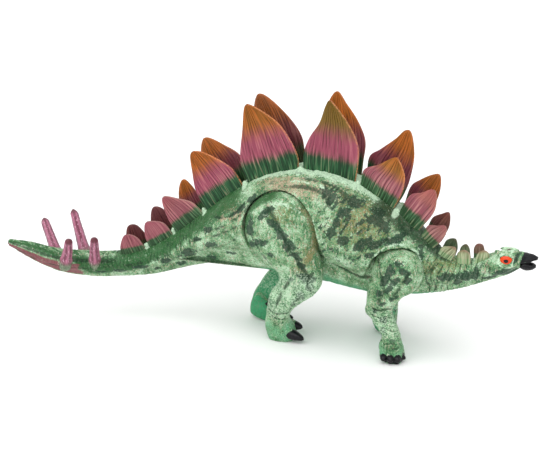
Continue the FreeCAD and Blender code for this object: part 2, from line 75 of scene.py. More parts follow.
def unit(vector):
    """A vector scaled to length 1."""
    return np.asarray(vector, float) / np.linalg.norm(vector)


def unit_rows(vectors):
    """Vectors in rows, each scaled to length 1."""
    return vectors / np.maximum(np.linalg.norm(vectors, axis=1, keepdims=True), 1e-9)


def catmull(points, steps, closed=False):
    """A smooth run of points through the given ones."""
    points = np.asarray(points, float)
    count = len(points)
    if closed:
        padded = np.concatenate([points[-1:], points, points[:2]])
        spans = count
    else:
        padded = np.concatenate([2 * points[:1] - points[1:2], points,
                                 2 * points[-1:] - points[-2:-1]])
        spans = count - 1
    made = []
    for i in range(spans):
        a, b, c, d = padded[i:i + 4]
        for t in np.arange(steps) / steps:
            made.append(0.5 * (2 * b + (c - a) * t + (2 * a - 5 * b + 4 * c - d) * t ** 2
                               + (3 * b - a - 3 * c + d) * t ** 3))
    if not closed:
        made.append(points[-1])
    return np.array(made)


def through(table, places):
    """A smooth value at each place on a table of (place, value, value ...) rows."""
    table = np.asarray(table, float)
    known, values = table[:, 0], table[:, 1:]
    slopes = np.gradient(values, known, axis=0)
    places = np.clip(places, known[0], known[-1])
    span = np.clip(np.searchsorted(known, places) - 1, 0, len(known) - 2)
    width = known[span + 1] - known[span]
    t = ((places - known[span]) / width)[:, None]
    width = width[:, None]
    return ((2 * t ** 3 - 3 * t ** 2 + 1) * values[span] + (t ** 3 - 2 * t ** 2 + t) * width * slopes[span]
            + (3 * t ** 2 - 2 * t ** 3) * values[span + 1] + (t ** 3 - t ** 2) * width * slopes[span + 1])


def distance_to_route(across, up, route):
    """Distance in the side view from each point to an open line through route."""
    best = np.full(across.shape, 1e9)
    for (ax, az), (bx, bz) in zip(route, route[1:]):
        length = (bx - ax) ** 2 + (bz - az) ** 2
        t = np.clip(((across - ax) * (bx - ax) + (up - az) * (bz - az)) / max(length, 1e-9), 0, 1)
        best = np.minimum(best, (across - ax - t * (bx - ax)) ** 2 + (up - az - t * (bz - az)) ** 2)
    return np.sqrt(best)


def lattice_values(cells, seed):
    """A repeatable pseudo-random number from 0 to 1 for each whole-number cell."""
    x, y, z = (cells[..., i].astype(np.int64) for i in range(3))
    mixed = (x * 73856093) ^ (y * 19349663) ^ (z * 83492791) ^ (seed * 2654435761)
    mixed = (mixed ^ (mixed >> 13)) * 1274126177 & 0x7FFFFFFF
    mixed = (mixed ^ (mixed >> 15)) * 2246822519 & 0x7FFFFFFF
    return (mixed % 100003) / 100003.0


def smooth_noise(points, size, seed=0):
    """Noise from -1 to 1 whose lumps are about size across."""
    scaled = points / size
    base = np.floor(scaled)
    share = scaled - base
    share = share * share * (3 - 2 * share)
    total = np.zeros(len(points))
    for corner in np.ndindex(2, 2, 2):
        corner = np.array(corner)
        weight = np.prod(np.where(corner == 1, share, 1 - share), axis=1)
        total += weight * lattice_values(base + corner, seed)
    return total * 2 - 1


def layered_noise(points, size, seed=0, layers=3):
    """Noise with ever finer and fainter layers."""
    total = np.zeros(len(points))
    strength = 1.0
    for layer in range(layers):
        total += strength * smooth_noise(points, size / 2 ** layer, seed + 17 * layer)
        strength *= 0.55
    return total


def cell_pattern(points, size, seed=0):
    """0 at the middle of each pebble-like scale, 1 where scales meet."""
    scaled = points / size
    base = np.floor(scaled)
    nearest = np.full(len(points), 9.0)
    second = np.full(len(points), 9.0)
    for corner in np.ndindex(3, 3, 3):
        cell = base + np.array(corner) - 1
        offset = np.stack([lattice_values(cell, seed + i) for i in range(3)], axis=1)
        distance = np.linalg.norm(cell + offset - scaled, axis=1)
        second = np.minimum(second, np.maximum(nearest, distance))
        nearest = np.minimum(nearest, distance)
    return 1 - smoothstep(0.0, 0.35, second - nearest)


# ---- distance fields
class Field:
    """A block of signed distances in millimetres, negative inside the shape."""

    def __init__(self, low, high, voxel, band=8):
        self.voxel = voxel
        self.band = band
        self.first = np.floor(np.array(low) / voxel).astype(int)
        size = np.ceil(np.array(high) / voxel).astype(int) - self.first + 1
        self.values = np.full(size, band * voxel, np.float32)

    def block(self, low, high):
        """The slices and the x, y and z of the voxels from low to high."""
        start = np.maximum(np.floor(np.array(low) / self.voxel).astype(int) - self.first, 0)
        stop = np.minimum(np.ceil(np.array(high) / self.voxel).astype(int) - self.first + 1,
                          self.values.shape)
        slices = tuple(slice(a, b) for a, b in zip(start, stop))
        axes = [(np.arange(a, b) + self.first[i]) * self.voxel
                for i, (a, b) in enumerate(zip(start, stop))]
        return slices, np.meshgrid(*axes, indexing="ij", sparse=True)

    def set_mesh(self, points, quads, triangles):
        """Fills the block with distances to a closed mesh."""
        grid = openvdb.FloatGrid.createLevelSetFromPolygons(
            np.asarray(points, np.float32), triangles=np.asarray(triangles, np.uint32),
            quads=np.asarray(quads, np.uint32),
            transform=openvdb.createLinearTransform(voxelSize=self.voxel), halfWidth=float(self.band))
        grid.copyToArray(self.values, ijk=tuple(int(i) for i in self.first))

    def add(self, low, high, distance, blend=0.0):
        """Joins a shape given by its distance function, with a fillet of about blend."""
        slices, axes = self.block(low, high)
        self.values[slices] = smooth_least(self.values[slices], distance(*axes), blend)

    def carve(self, low, high, distance, blend=0.0):
        """Takes a shape away."""
        slices, axes = self.block(low, high)
        self.values[slices] = -smooth_least(-self.values[slices], distance(*axes), blend)

    def mesh(self):
        """Points and quads of the surface."""
        grid = openvdb.FloatGrid(self.band * self.voxel)
        grid.transform = openvdb.createLinearTransform(voxelSize=self.voxel)
        grid.copyFromArray(self.values, ijk=tuple(int(i) for i in self.first))
        points, quads = grid.convertToQuads(0)
        return np.array(points, float), np.array(quads, int)


def smooth_least(first, second, blend):
    """The lesser of two distances, rounded where they are nearly equal."""
    if blend <= 0:
        return np.minimum(first, second).astype(np.float32)
    share = np.clip(0.5 + 0.5 * (second - first) / blend, 0, 1)
    return (second * (1 - share) + first * share - blend * share * (1 - share)).astype(np.float32)


def ellipsoid(centre, radii):
    def distance(x, y, z):
        scaled = [((v - c) / r) ** 2 for v, c, r in zip((x, y, z), centre, radii)]
        return (np.sqrt(sum(scaled)) - 1) * min(radii)
    return distance


def bulge(field, centre, radii, blend):
    """Blends an ellipsoid into a field."""
    centre, radii = np.array(centre, float), np.array(radii, float)
    reach = radii + blend + 2
    field.add(centre - reach, centre + reach, ellipsoid(centre, radii), blend)


def rod(start, end, start_radius, end_radius):
    """A round bar with rounded ends whose radius changes evenly."""
    start, end = np.array(start, float), np.array(end, float)
    along = end - start

    def distance(x, y, z):
        t = sum((v - s) * d for v, s, d in zip((x, y, z), start, along)) / (along @ along)
        t = np.clip(t, 0, 1)
        gap = np.sqrt(sum((v - s - t * d) ** 2 for v, s, d in zip((x, y, z), start, along)))
        return gap - (start_radius + t * (end_radius - start_radius))
    return distance


def outline_distance(across, up, outline):
    """Signed distance in the side view to a closed outline, negative inside."""
    closed = list(outline) + [outline[0]]
    edge = distance_to_route(across, up, closed)
    inside = np.zeros(across.shape, bool)
    for (ax, az), (bx, bz) in zip(closed, closed[1:]):
        if az == bz:
            continue
        crosses = (az > up) != (bz > up)
        inside ^= crosses & (across < (bx - ax) * (up - az) / (bz - az) + ax)
    return np.where(inside, -edge, edge)


# ---- meshes
def to_row(points):
    """Points in millimetres moved to the row frame, in metres."""
    return (np.asarray(points, float) + SHIFT) * MM


def make_piece(name, points, faces, body, material, masks=None):
    """A mesh piece from points in millimetres, riding on a CAD body."""
    mesh = bpy.data.meshes.new(name)
    mesh.from_pydata(to_row(points).tolist(), [], [list(map(int, f)) for f in faces])
    mesh.validate()
    for mask, values in (masks or {}).items():
        attribute = mesh.attributes.new(mask, "FLOAT", "POINT")
        attribute.data.foreach_set("value", np.asarray(values, np.float32))
    mesh.polygons.foreach_set("use_smooth", [True] * len(mesh.polygons))
    piece = bpy.data.objects.new(name, mesh)
    bpy.context.scene.collection.objects.link(piece)
    mesh.materials.append(material)
    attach(piece, body)
    return piece


def vertex_normals(points, quads):
    """The way a surface faces at each of its points."""
    corners = points[quads]
    faces = np.cross(corners[:, 2] - corners[:, 0], corners[:, 3] - corners[:, 1])
    normals = np.zeros_like(points)
    for i in range(4):
        np.add.at(normals, quads[:, i], faces)
    return unit_rows(normals)


def skin_of_rings(rings):
    """Quads between closed rings of points, and a fan of triangles on each end."""
    count, around = rings.shape[:2]
    i = np.arange(count - 1)[:, None] * around
    j = np.arange(around)[None, :]
    k = (j + 1) % around
    quads = np.stack([i + j, i + k, i + around + k, i + around + j], axis=-1).reshape(-1, 4)
    points = np.concatenate([rings.reshape(-1, 3), rings[0].mean(0)[None], rings[-1].mean(0)[None]])
    first, last = count * around, count * around + 1
    end = (count - 1) * around
    j, k = np.arange(around), (np.arange(around) + 1) % around
    triangles = np.concatenate([np.stack([k, j, np.full(around, first)], axis=1),
                                np.stack([end + j, end + k, np.full(around, last)], axis=1)])
    return points, quads, triangles


def closed_skin(rings):
    """Points and faces of a closed skin over rings."""
    points, quads, triangles = skin_of_rings(rings)
    return points, quads.tolist() + triangles.tolist()


# ---- body
TAIL_BEND_X = -40
TAIL_BEND_SPAN = 105
TAIL_BEND_DEPTH = 46

# Stations of the body skin: x, lowest z, highest z, half width.
BODY_STATIONS = (
    (-139, 44.8, 48.8, 2), (-132, 37.8, 46.4, 3.8), (-120, 28.6, 41, 5.6),
    (-104, 23.3, 37.8, 6.9), (-87, 22.6, 37.6, 7.6), (-70, 24.2, 43, 9),
    (-54, 29, 53.6, 12), (-38, 34, 66.4, 16), (-22, 36.4, 79.4, 20),
    (-6, 35.8, 89.4, 24), (12, 35.4, 95.4, 27), (30, 34, 96.2, 28),
    (46, 32, 92, 27.4), (60, 31, 84.4, 25), (72, 32.4, 75.4, 21.6),
    (82, 33.4, 66.4, 16.4), (92, 35.4, 57.6, 10.8), (102, 38.6, 55, 7.8),
    (112, 42.8, 56.4, 6.8), (120, 46.6, 60.6, 6.8), (127, 50.2, 61.8, 6.4),
    (133, 54.4, 61.8, 4.8), (138, 57, 61.2, 2.8), (140.6, 58.4, 60.2, 1),
)
# Half of a body section: share of the half width, share of the height.
SECTION_SHAPE = (
    (0.24, 0.012), (0.42, 0.085), (0.56, 0.225), (0.84, 0.345), (0.99, 0.50),
    (0.96, 0.66), (0.78, 0.81), (0.52, 0.915), (0.26, 0.978),
)
POCKET_MARGIN = 0.8
SWEEP_STEP = 4.0                  # degrees between the places of a leg that cut its pocket
HIP_SWING = joint_range["hip_right"]
SHOULDER_SWING = joint_range["shoulder_right"]
# Outline of the upper leg that turns beside the flank, from the pivot round.
REAR_SWEEP_OUTLINE = ((0, 12), (20.4, 0), (22.4, -12), (23.6, -19),
                      (23.6, -25), (19, -32), (0, -32), (-12, -16))
FRONT_SWEEP_OUTLINE = ((0, 8), (12, -4), (3, -14), (0, -24),
                       (-14.4, -24), (-14.6, -13), (-13.4, -2))
# Scale-like tabs between the plate roots: x, distance from the spine, z.
ROOT_TABS = ((-72.2, 4.4, 42.2), (-57, 4.9, 52), (-38.8, 5.6, 65.6), (-14.8, 6, 83.4),
             (16.2, 6, 94.8), (47.2, 6, 90.6), (68.2, 5, 77.8))
TAB_SIZE = (1.4, 0.8, 1.7)
TAB_FILLET = 0.5
# Lumps of each side of the head: centre, half sizes, fillet.
HEAD_LUMPS = {"brow": ((125.2, 4.9, 60.9), (4.8, 1.1, 0.8), 1),
              "jaw muscle": ((118.5, 5.2, 53.8), (6.5, 1.8, 3.8), 2.5)}
CREST = ((119.4, 0, 60.6), (1.6, 1.2, 1.2), 0.8)
MOUTH_FILLET = 0.6
# Outline in the side view of the gap that the lower beak lies in.
MOUTH = ((132.4, 57), (135.6, 57.2), (138, 58.7), (144, 59.3), (144, 40), (132.4, 40))


def spine_y(x):
    """Where the middle of the body lies: straight, with a tail that curls to the right."""
    behind = np.maximum(TAIL_BEND_X - np.asarray(x, float), 0.0)
    return -TAIL_BEND_DEPTH * (behind / TAIL_BEND_SPAN) ** 2


def body_rings():
    """Closed sections of the body from tail to snout."""
    places = np.arange(BODY_STATIONS[0][0], BODY_STATIONS[-1][0] + 0.01, 0.8)
    sizes = through(BODY_STATIONS, places)
    half = [(0.0, 0.0), *SECTION_SHAPE, (0.0, 1.0)]
    loop = half + [(-share, rise) for share, rise in reversed(SECTION_SHAPE)]
    loop = catmull(loop, 5, closed=True)
    rings = []
    for x, (low, high, width) in zip(places, sizes):
        y = spine_y(x) + loop[:, 0] * width
        rings.append(np.stack([np.full(len(loop), x), y, low + loop[:, 1] * (high - low)], axis=1))
    return np.array(rings)


def pocket(pivot, outline, limits, side):
    """The room in the flank for an upper leg over its whole swing."""
    outlines = []
    for turn in np.radians(np.arange(limits[0], limits[1] + 0.1, SWEEP_STEP)):
        outlines.append([(pivot["x"] + x * math.cos(turn) - z * math.sin(turn),
                          pivot["z"] + x * math.sin(turn) + z * math.cos(turn))
                         for x, z in outline])

    def distance(x, y, z):
        across, up = np.meshgrid(x[:, 0, 0], z[0, 0], indexing="ij")
        flat = np.hypot(across - pivot["x"], up - pivot["z"]) - pivot["disc"]
        for one in outlines:
            flat = np.minimum(flat, outline_distance(across, up, one))
        flat = (flat - POCKET_MARGIN)[:, None, :]
        return np.maximum(flat, pivot["floor"] - side * y)
    return distance


def shape_body():
    """The body's surface with its pockets, brows, jaws, crest, tabs and open mouth."""
    field = Field((-142, -46, 18), (144, 30, 102), BODY_VOXEL)
    field.set_mesh(*skin_of_rings(body_rings()))
    for side in (RIGHT, LEFT):
        for (x, out, z), radii, blend in HEAD_LUMPS.values():
            bulge(field, (x, side * out, z), radii, blend)
        for pivot, outline, limits in ((HIP, REAR_SWEEP_OUTLINE, HIP_SWING),
                                       (SHOULDER, FRONT_SWEEP_OUTLINE, SHOULDER_SWING)):
            # The block of the field that the upper leg can reach.
            low = (pivot["x"] - 48, min(side * 12, side * 30), pivot["z"] - 45)
            high = (pivot["x"] + 40, max(side * 12, side * 30), pivot["z"] + 26)
            field.carve(low, high, pocket(pivot, outline, limits, side))
        for x, out, z in ROOT_TABS:
            bulge(field, (x, spine_y(x) + side * out, z), TAB_SIZE, TAB_FILLET)
    bulge(field, *CREST)
    field.carve((125, -12, 40), (144, 12, 62),
                lambda x, y, z: outline_distance(x + 0 * z, z + 0 * x, MOUTH) + 0 * y, MOUTH_FILLET)
    return field.mesh()


def border_loops(faces):
    """The runs of vertices round the openings of a mesh, in the order that closes them."""
    edges = set()
    for i in range(faces.shape[1]):
        edges.update(zip(faces[:, i - 1].tolist(), faces[:, i].tolist()))
    following = {}
    for start, end in edges:
        if (end, start) not in edges:
            following.setdefault(end, []).append(start)
    loops = []
    while following:
        path = [next(iter(following))]
        while path:
            here = path[-1]
            nexts = following[here]
            step = nexts.pop()
            if not nexts:
                del following[here]
            if step in path:
                at = path.index(step)
                loops.append(path[at:])
                path = path[:at]
                if step in following:
                    path.append(step)
            else:
                path.append(step)
    return loops


def build_body(material):
    """Two closed halves of the body, parted on the middle surface."""
    points, quads = shape_body()
    normals = vertex_normals(points, quads)
    height = body_relief(points, normals)
    moved = points + normals * height[:, None]
    masks = body_masks(points, normals, height)
    middle = spine_y(moved[:, 0])
    off_middle = moved[quads].mean(1)[:, 1] - middle[quads].mean(1)
    for side, side_name in SIDE_NAMES.items():
        kept = quads[off_middle * side > 0]
        loops = border_loops(kept)
        border = [v for loop in loops for v in loop]
        moved[border, 1] = middle[border]
        used, faces = np.unique(kept, return_inverse=True)
        faces = faces.reshape(-1, 4).tolist()
        for loop in loops:
            faces.append(range(len(used), len(used) + len(loop)))
            used = np.concatenate([used, loop])
        piece = make_piece("body_skin_" + side_name, moved[used], faces, TRUNK,
                           material, {name: values[used] for name, values in masks.items()})
        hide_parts("body_shell_" + side_name)


# Creases in the skin's side view: route, half width, depth. A negative depth stands out.
BODY_CREASES = (
    (((-9, 74), (-5, 79), (2, 84), (12, 88), (24, 89.4), (33, 87), (38, 82)), 0.8, 0.6),
    (((2, 87.6), (12, 91), (24, 92.4), (36, 90.6), (44, 87), (49, 82)), 0.7, 0.5),
    (((-3, 84.6), (8, 89.6), (20, 91.2), (32, 89.6)), 0.9, -0.4),
    (((31, 52.4), (37, 50), (43, 47.2), (49, 43.6), (53, 42.4), (58, 43.4)), 0.8, 0.9),
    (((57, 44), (59.4, 54), (64, 61.4), (70, 64.8), (76, 63.6), (81.4, 59.2), (84.4, 53), (85, 47)),
     0.9, -0.35),
    (((57.4, 58), (62.4, 64.4), (69.4, 67.6), (77, 66.2), (83.4, 61), (86.8, 54.4)), 0.5, 0.2),
    (((63, 69.4), (71, 71), (79.4, 67.6), (86, 61)), 0.5, 0.25),
    (((-30, 66), (-22, 67.4), (-15, 71.6), (-10.6, 77)), 0.7, 0.45),
    (((-36, 57), (-26, 61), (-17, 66.4), (-11.4, 71.6)), 0.8, 0.4),
    (((-44, 50), (-32, 54.4), (-21, 60), (-12.6, 65.6)), 0.8, 0.4),
    (((-48, 42), (-34, 46.4), (-22, 52), (-13, 58.6)), 0.9, 0.4),
    (((-100, 30), (-86, 30.4), (-70, 34), (-56, 40)), 0.8, 0.25),
    (((-136, 43), (-126, 35.6), (-114, 31), (-102, 29.4)), 0.6, 0.5),
    (((87, 38), (86.4, 44), (88, 50), (91, 55)), 0.8, 0.4),
    (((90.4, 37), (90, 43), (92, 49)), 0.7, 0.35),
    (((94, 38), (94, 43.6), (96, 48.6)), 0.6, 0.3),
    (((116.6, 47), (117.4, 51), (117, 55.4)), 0.7, 0.4),
    (((119, 49.6), (123, 50.8), (128, 52.4)), 0.6, 0.35),
    (((120.8, 55), (124, 55), (127.4, 56.4)), 0.5, 0.4),
    (((129.6, 62.4), (130.6, 58), (130, 53)), 0.5, 0.3),
)
# Dark blotches in the side view: x, z, half length, half height, tilt in degrees.
BODY_BLOTCHES = (
    (33, 88.6, 3.4, 1.6, -20), (37.6, 85.4, 1.8, 3, -20), (48.4, 84, 4.6, 2.4, -32),
    (45.2, 79.7, 4.6, 2.6, 30), (42.2, 75.4, 2, 3.6, -20), (40.4, 70.8, 2.2, 3.6, -10),
    (46.6, 66.8, 3.2, 2.8, 20), (55, 64.8, 6, 2.4, 35), (62.4, 64.8, 4.6, 2, 34),
    (60.4, 59.8, 3.2, 1.5, 20), (60.2, 77.2, 4.8, 3.2, -38), (65, 73, 3.2, 1.6, -45),
    (53.6, 75.6, 2.2, 1.2, 30), (71.6, 67.2, 5, 2, 20), (83, 58.4, 2, 3.8, 10),
    (-6.4, 79.6, 2.6, 1.8, 30), (-11.4, 74.6, 4.2, 1.4, 44), (-16.6, 70.4, 2.4, 1, 40),
    (-32, 59, 3.4, 1.5, 30), (-30.6, 50.4, 4.2, 1.8, 22), (-38.6, 52.4, 3.4, 1.2, 24),
    (-45.6, 42.4, 6, 2.8, 24), (-52.4, 33.4, 3, 1.4, 20), (-60.4, 35.2, 3.6, 1.8, 10),
    (-74.6, 30.4, 4.2, 1.6, 4), (-86, 27.6, 3.4, 1.2, 0), (-66, 29, 3, 1, 8),
    (-96, 26.6, 3.2, 1, -6), (-21, 45, 3.6, 1.4, 10), (-34, 39.6, 3, 1.2, 14),
    (95, 46.6, 3.4, 2.8, 0), (105, 47.6, 7, 2.8, 6), (101, 43, 3.4, 1, 20),
    (125, 52.3, 5.6, 2.2, 14), (129.8, 59.4, 1.3, 2.6, -30), (116.6, 47.8, 4.4, 1.1, 20),
    (110.6, 51, 1.2, 2.8, 0), (88.6, 62.6, 3, 2.4, -30),
)
# Pitches of the ring-like wrinkles.
NECK_PITCH = 2.7
TAIL_PITCH = 2.1
CHEST_PITCH = 3.1
FLANK_PITCH = 2.2
NOSTRIL = {"x": 134.6, "z": 60.2, "radius": 0.8, "depth": 0.7}
EYE_SOCKET = {"radius": 3.6, "width": 0.7, "height": 0.35}


def crease_field(across, up, creases):
    """Sum of the grooves and folds that run along routes in the side view."""
    total = np.zeros(across.shape)
    for route, width, depth in creases:
        line = catmull(route, 5)
        low, high = line.min(0) - 4 * width, line.max(0) + 4 * width
        near = (across > low[0]) & (across < high[0]) & (up > low[1]) & (up < high[1])
        distance = distance_to_route(across[near], up[near], line)
        total[near] -= depth * np.exp(-(distance / width) ** 2)
    places = np.stack([across, up, np.zeros_like(up)], axis=1)
    return total * (0.62 + 0.45 * smooth_noise(places, 3.2, 91))


def blotch_field(across, up, blotches, wander):
    """1 inside the blotches and 0 outside, with ragged edges."""
    total = np.zeros(across.shape)
    for x, z, length, tall, tilt in blotches:
        turn = math.radians(tilt)
        along = ((across - x) * math.cos(turn) + (up - z) * math.sin(turn)) / length
        above = ((up - z) * math.cos(turn) - (across - x) * math.sin(turn)) / tall
        total = np.maximum(total, 1 - smoothstep(0.55, 1.35, np.hypot(along, above) + wander))
    return total


def body_places(points):
    """Side-view x and z, and the share of the body's height from its belly up."""
    x, z = points[:, 0], points[:, 2]
    sizes = through(BODY_STATIONS, x)
    rise = (z - sizes[:, 0]) / np.maximum(sizes[:, 1] - sizes[:, 0], 1)
    return x, z, rise


def rings_of(place, pitch, sharpness=0.5):
    """1 in narrow grooves a pitch apart and 0 between them."""
    return 1 - smoothstep(0.0, sharpness, np.abs(np.sin(math.pi * place / pitch)))


def window(values, rise_start, rise_end, fall_start, fall_end):
    """1 between two smooth edges and 0 outside them."""
    return smoothstep(rise_start, rise_end, values) * (1 - smoothstep(fall_start, fall_end, values))


def patch(x, z, centre, reach, wander, sharp=0.4, soft=1.2):
    """1 in the middle of an oval patch in the side view, fading to 0 at a wandering edge."""
    away = np.hypot((x - centre[0]) / reach[0], (z - centre[1]) / reach[1])
    return smoothstep(soft, sharp, away + wander)


def body_relief(points, normals):
    """How far the skin stands out or in, in millimetres."""
    x, z, rise = body_places(points)
    sideways = smoothstep(0.25, 0.6, np.abs(normals[:, 1]))
    wander = 1.2 * smooth_noise(points, 7.0, 31) + 0.4 * smooth_noise(points, 2.4, 32)
    height = 0.14 * layered_noise(points, 3.4, 5)
    height -= 0.13 * cell_pattern(points, 1.7, 3) * smoothstep(0.3, 0.6, rise)
    height += crease_field(x, z, BODY_CREASES) * (0.35 + 0.65 * sideways)
    neck = window(x, 82, 90, 113, 120)
    height -= 0.42 * neck * rings_of(x - 0.25 * (z - 45) + wander, NECK_PITCH)
    tail = window(x, -114, -104, -44, -30)
    height -= 0.30 * tail * rings_of(x + 0.2 * (z - 35) + wander, TAIL_PITCH)
    chest = window(x, 80, 86, 92, 98) * (1 - smoothstep(0.5, 0.8, rise))
    height -= 0.25 * chest * rings_of(x + 0.5 * wander, CHEST_PITCH)
    flank = window(x, 28, 36, 66, 74) * sideways
    height -= 0.16 * flank * rings_of(x * 0.8 - z * 0.6 + 1.5 * wander, FLANK_PITCH, 0.8)
    ridge = smoothstep(0.90, 0.97, rise) * window(x, -30, -16, 58, 66)
    height += 0.28 * ridge * np.maximum(layered_noise(points, 1.8, 51), -0.3)
    from_eye = np.hypot(x - EYE["x"], z - EYE["z"]) - EYE_SOCKET["radius"]
    socket = np.exp(-(from_eye / EYE_SOCKET["width"]) ** 2)
    height += smoothstep(112, 116, x) * EYE_SOCKET["height"] * socket
    nostril = np.hypot(x - NOSTRIL["x"], (z - NOSTRIL["z"]) * 1.3)
    height -= NOSTRIL["depth"] * np.exp(-(nostril / NOSTRIL["radius"]) ** 2) * sideways
    return height


FLECK_SLANT = math.radians(52.0)
FLECK_LENGTH = 2.6
FLECK_WIDTH = 1.2
FLECK_ROW_PITCH = 3.4             # in fleck widths


def flank_flecks(x, z, rise):
    """Small dark flecks that run in slanting rows over the flank."""
    down_row = (x * math.cos(FLECK_SLANT) + z * math.sin(FLECK_SLANT)) / FLECK_LENGTH
    across_rows = (z * math.cos(FLECK_SLANT) - x * math.sin(FLECK_SLANT)) / FLECK_WIDTH
    fleck = layered_noise(np.stack([down_row, across_rows, np.zeros_like(x)], axis=1), 1.0, 67)
    region = smoothstep(26, 36, x) * smoothstep(82, 70, x)
    region *= smoothstep(0.28, 0.40, rise) * smoothstep(0.96, 0.90, rise)
    rows = 0.5 + 0.5 * np.sin(math.pi * across_rows / FLECK_ROW_PITCH)
    return region * smoothstep(0.50, 0.72, fleck * 0.75 + 0.45 * rows)


STROKE_DIRECTIONS = np.array([[0.8, 0, 0.35], [0, 1, 0], [-0.6, 0, 1.2]])
# Where the dark top of the tail begins: x, and the share of the height there.
DARK_TOP_PLACES = (-110, -102, -84, -60, -30)
DARK_TOP_SHARES = (0.8, 0.20, 0.28, 0.54, 0.74)
BEAK_PAINT_START = 132.4


def body_masks(points, normals, height):
    """Where each colour of paint lies on the skin, each from 0 to 1."""
    x, z, rise = body_places(points)
    wander = 0.42 * layered_noise(points, 2.4, 61) + 0.30 * smooth_noise(points, 0.9, 62)
    blotch = np.maximum(blotch_field(x, z, BODY_BLOTCHES, wander), flank_flecks(x, z, rise))
    olive = np.maximum(0.56 * patch(x, z, (54, 72), (19, 15), 0.3 * wander, soft=1.25),
                       0.55 * patch(x, z, (92, 52), (12, 6), 0.3 * wander, sharp=0.5))
    tan = np.maximum(0.50 * patch(x, z, (56, 78), (17, 9), 0.4 * wander, sharp=0.3),
                     0.50 * patch(x, z, (44, 85), (8, 5), 0.4 * wander, soft=1.1))
    stroke = layered_noise(points @ STROKE_DIRECTIONS * (1.3, 0.6, 0.5), 1.3, 63)
    pink = np.maximum(0.72 * patch(x, z, (16, 88.4), (28, 5.0), 0.25 * wander),
                      0.8 * patch(x, z, (-17, 70), (13, 8), 0.4 * wander, soft=1.1)
                      * smoothstep(-0.1, 0.5, stroke))
    from_top = np.interp(x, DARK_TOP_PLACES, DARK_TOP_SHARES)
    dorsal = smoothstep(-0.08, 0.10, rise - from_top + 0.10 * wander) * (1 - smoothstep(-22, -6, x))
    dashes = smoothstep(0.15, 0.5, layered_noise(points * (0.45, 1.0, 1.2), 1.5, 66))
    tail_top = smoothstep(-84, -94, x) * smoothstep(0.6, 0.82, normals[:, 2])
    dorsal = np.maximum(dorsal * (1 - tail_top), 0.8 * tail_top * dashes)
    seam = smoothstep(-84, -92, x) * smoothstep(0.09, 0.04, np.abs(rise - 0.74 + 0.03 * wander))
    # shade: a painted shadow band along the top of the back below the neck plates' roots (x 54 to 100),
    # joined at 0.8 with the tail's seam line.
    shade = np.maximum(smoothstep(0.84, 0.93, rise) * window(x, 54, 60, 92, 100), 0.8 * seam)
    pale = smoothstep(0.94, 0.975, rise + 0.012 * wander) * window(x, -16, -4, 56, 62)
    for tab_x, _, tab_z in ROOT_TABS:
        near = np.hypot(x - tab_x, (z - tab_z) * 0.8)
        pale = np.maximum(pale, smoothstep(2.1, 1.4, near) * smoothstep(0.86, 0.90, rise))
    low_side = 0.55 * (1 - smoothstep(-0.04, 0.05, rise - 0.10 + 0.001 * (x - 40)))
    underside = smoothstep(0.55, 0.85, -normals[:, 2]) * smoothstep(0.2, 0.1, rise)
    belly = np.maximum(low_side * window(x, 26, 33, 72, 84), underside * window(x, -16, 0, 84, 96))
    mauve = smoothstep(-103, -108, x + 2 * wander) * smoothstep(0.66, 0.56, rise + 0.04 * wander)
    mauve *= smoothstep(0.02, 0.14, rise)
    beak = smoothstep(-0.25, 0.25, x - BEAK_PAINT_START - 0.12 * (z - 58) + 0.5 * wander)
    return {"height": height, "blotch": blotch, "olive": olive, "tan": tan, "pink": pink,
            "dorsal": dorsal, "shade": shade, "pale": pale, "belly": belly, "mauve": mauve,
            "beak": beak}


# ---- legs
FACE_GAP = 0.4                    # between a leg's inner face and its pocket floor
LEFT_REST_SWING = -17.0           # the left legs stand swung back by this much
# Sections down each right leg: centre x, centre z, half length, tilt of the section
# in degrees, inner |y|, outer |y|.
REAR_LEG_SECTIONS = (
    (17, 60, 13, 0, 16.4, 26.6),
    (19, 49, 14.6, 2, 16.4, 26.2),
    (21.6, 41.5, 12, -2, 16.4, 25.4),
    (19.4, 34.6, 10.2, -14, 16.4, 24.2),
    (13.4, 28, 8.2, -22, 13, 22.4),
    (8.6, 20.5, 6.8, -14, 10, 20.6),
    (6.6, 14, 6.2, -6, 7.6, 19),
    (7.2, 8, 7.4, 0, 5.4, 18.4),
    (8, 3.6, 8, 0, 4.4, 18),
    (8, 0, 7, 0, 5.4, 16.8),
)
FRONT_LEG_SECTIONS = (
    (70.6, 43, 11.6, 0, 13.4, 23),
    (66.6, 36, 9.2, 4, 13.4, 23),
    (64.3, 29, 6.8, 2, 13.4, 22.6),
    (66.2, 22.4, 5.5, 14, 13.3, 22.3),
    (69.8, 15.6, 4.7, 12, 13, 22.1),
    (71, 8.6, 5.5, 4, 12.2, 22.8),
    (71.5, 3.2, 6.1, 0, 11.4, 23.6),
    (71.7, 0, 5, 0, 12.4, 22.8),
)
# Claws: base x, base |y|, base z, length, base radius, heading in degrees from +X.
REAR_CLAWS = ((14, 14.4, 4.6, 8.4, 3, 8), (13.2, 6.8, 6.4, 5.2, 2.7, -4),
              (9.4, 5.6, 10.4, 3.2, 1.5, 0))
FRONT_CLAWS = ((67.8, 20.8, 3.3, 4.4, 2.1, 84), (70.8, 21, 3.3, 4.6, 2.2, 64),
               (73.4, 20.4, 3.3, 4.6, 2.2, 42), (74.6, 17.6, 3.2, 4.4, 2.1, 14))
CLAW_DROOP = 0.22                 # fall per length
CLAW_CLEARANCE = 0.05             # of a claw above the floor
TOE_LENGTH = 5.0                  # of the foot behind each claw
DISC_RIM_SHARE = 0.3              # of the crown that a disc's rim already has
LEG_FILLETS = {"disc": 2.0, "disc rim": 1.2, "muscle": 2.2, "toe": 1.2}
REAR_LEG = {"name": "rear", "pivot": HIP, "sections": REAR_LEG_SECTIONS,
            "claws": REAR_CLAWS, "nail_start": 3.4, "outer": 27.6, "left_extra": 2.2,
            "low": (-16, -31, -3), "high": (38, 1, 88)}
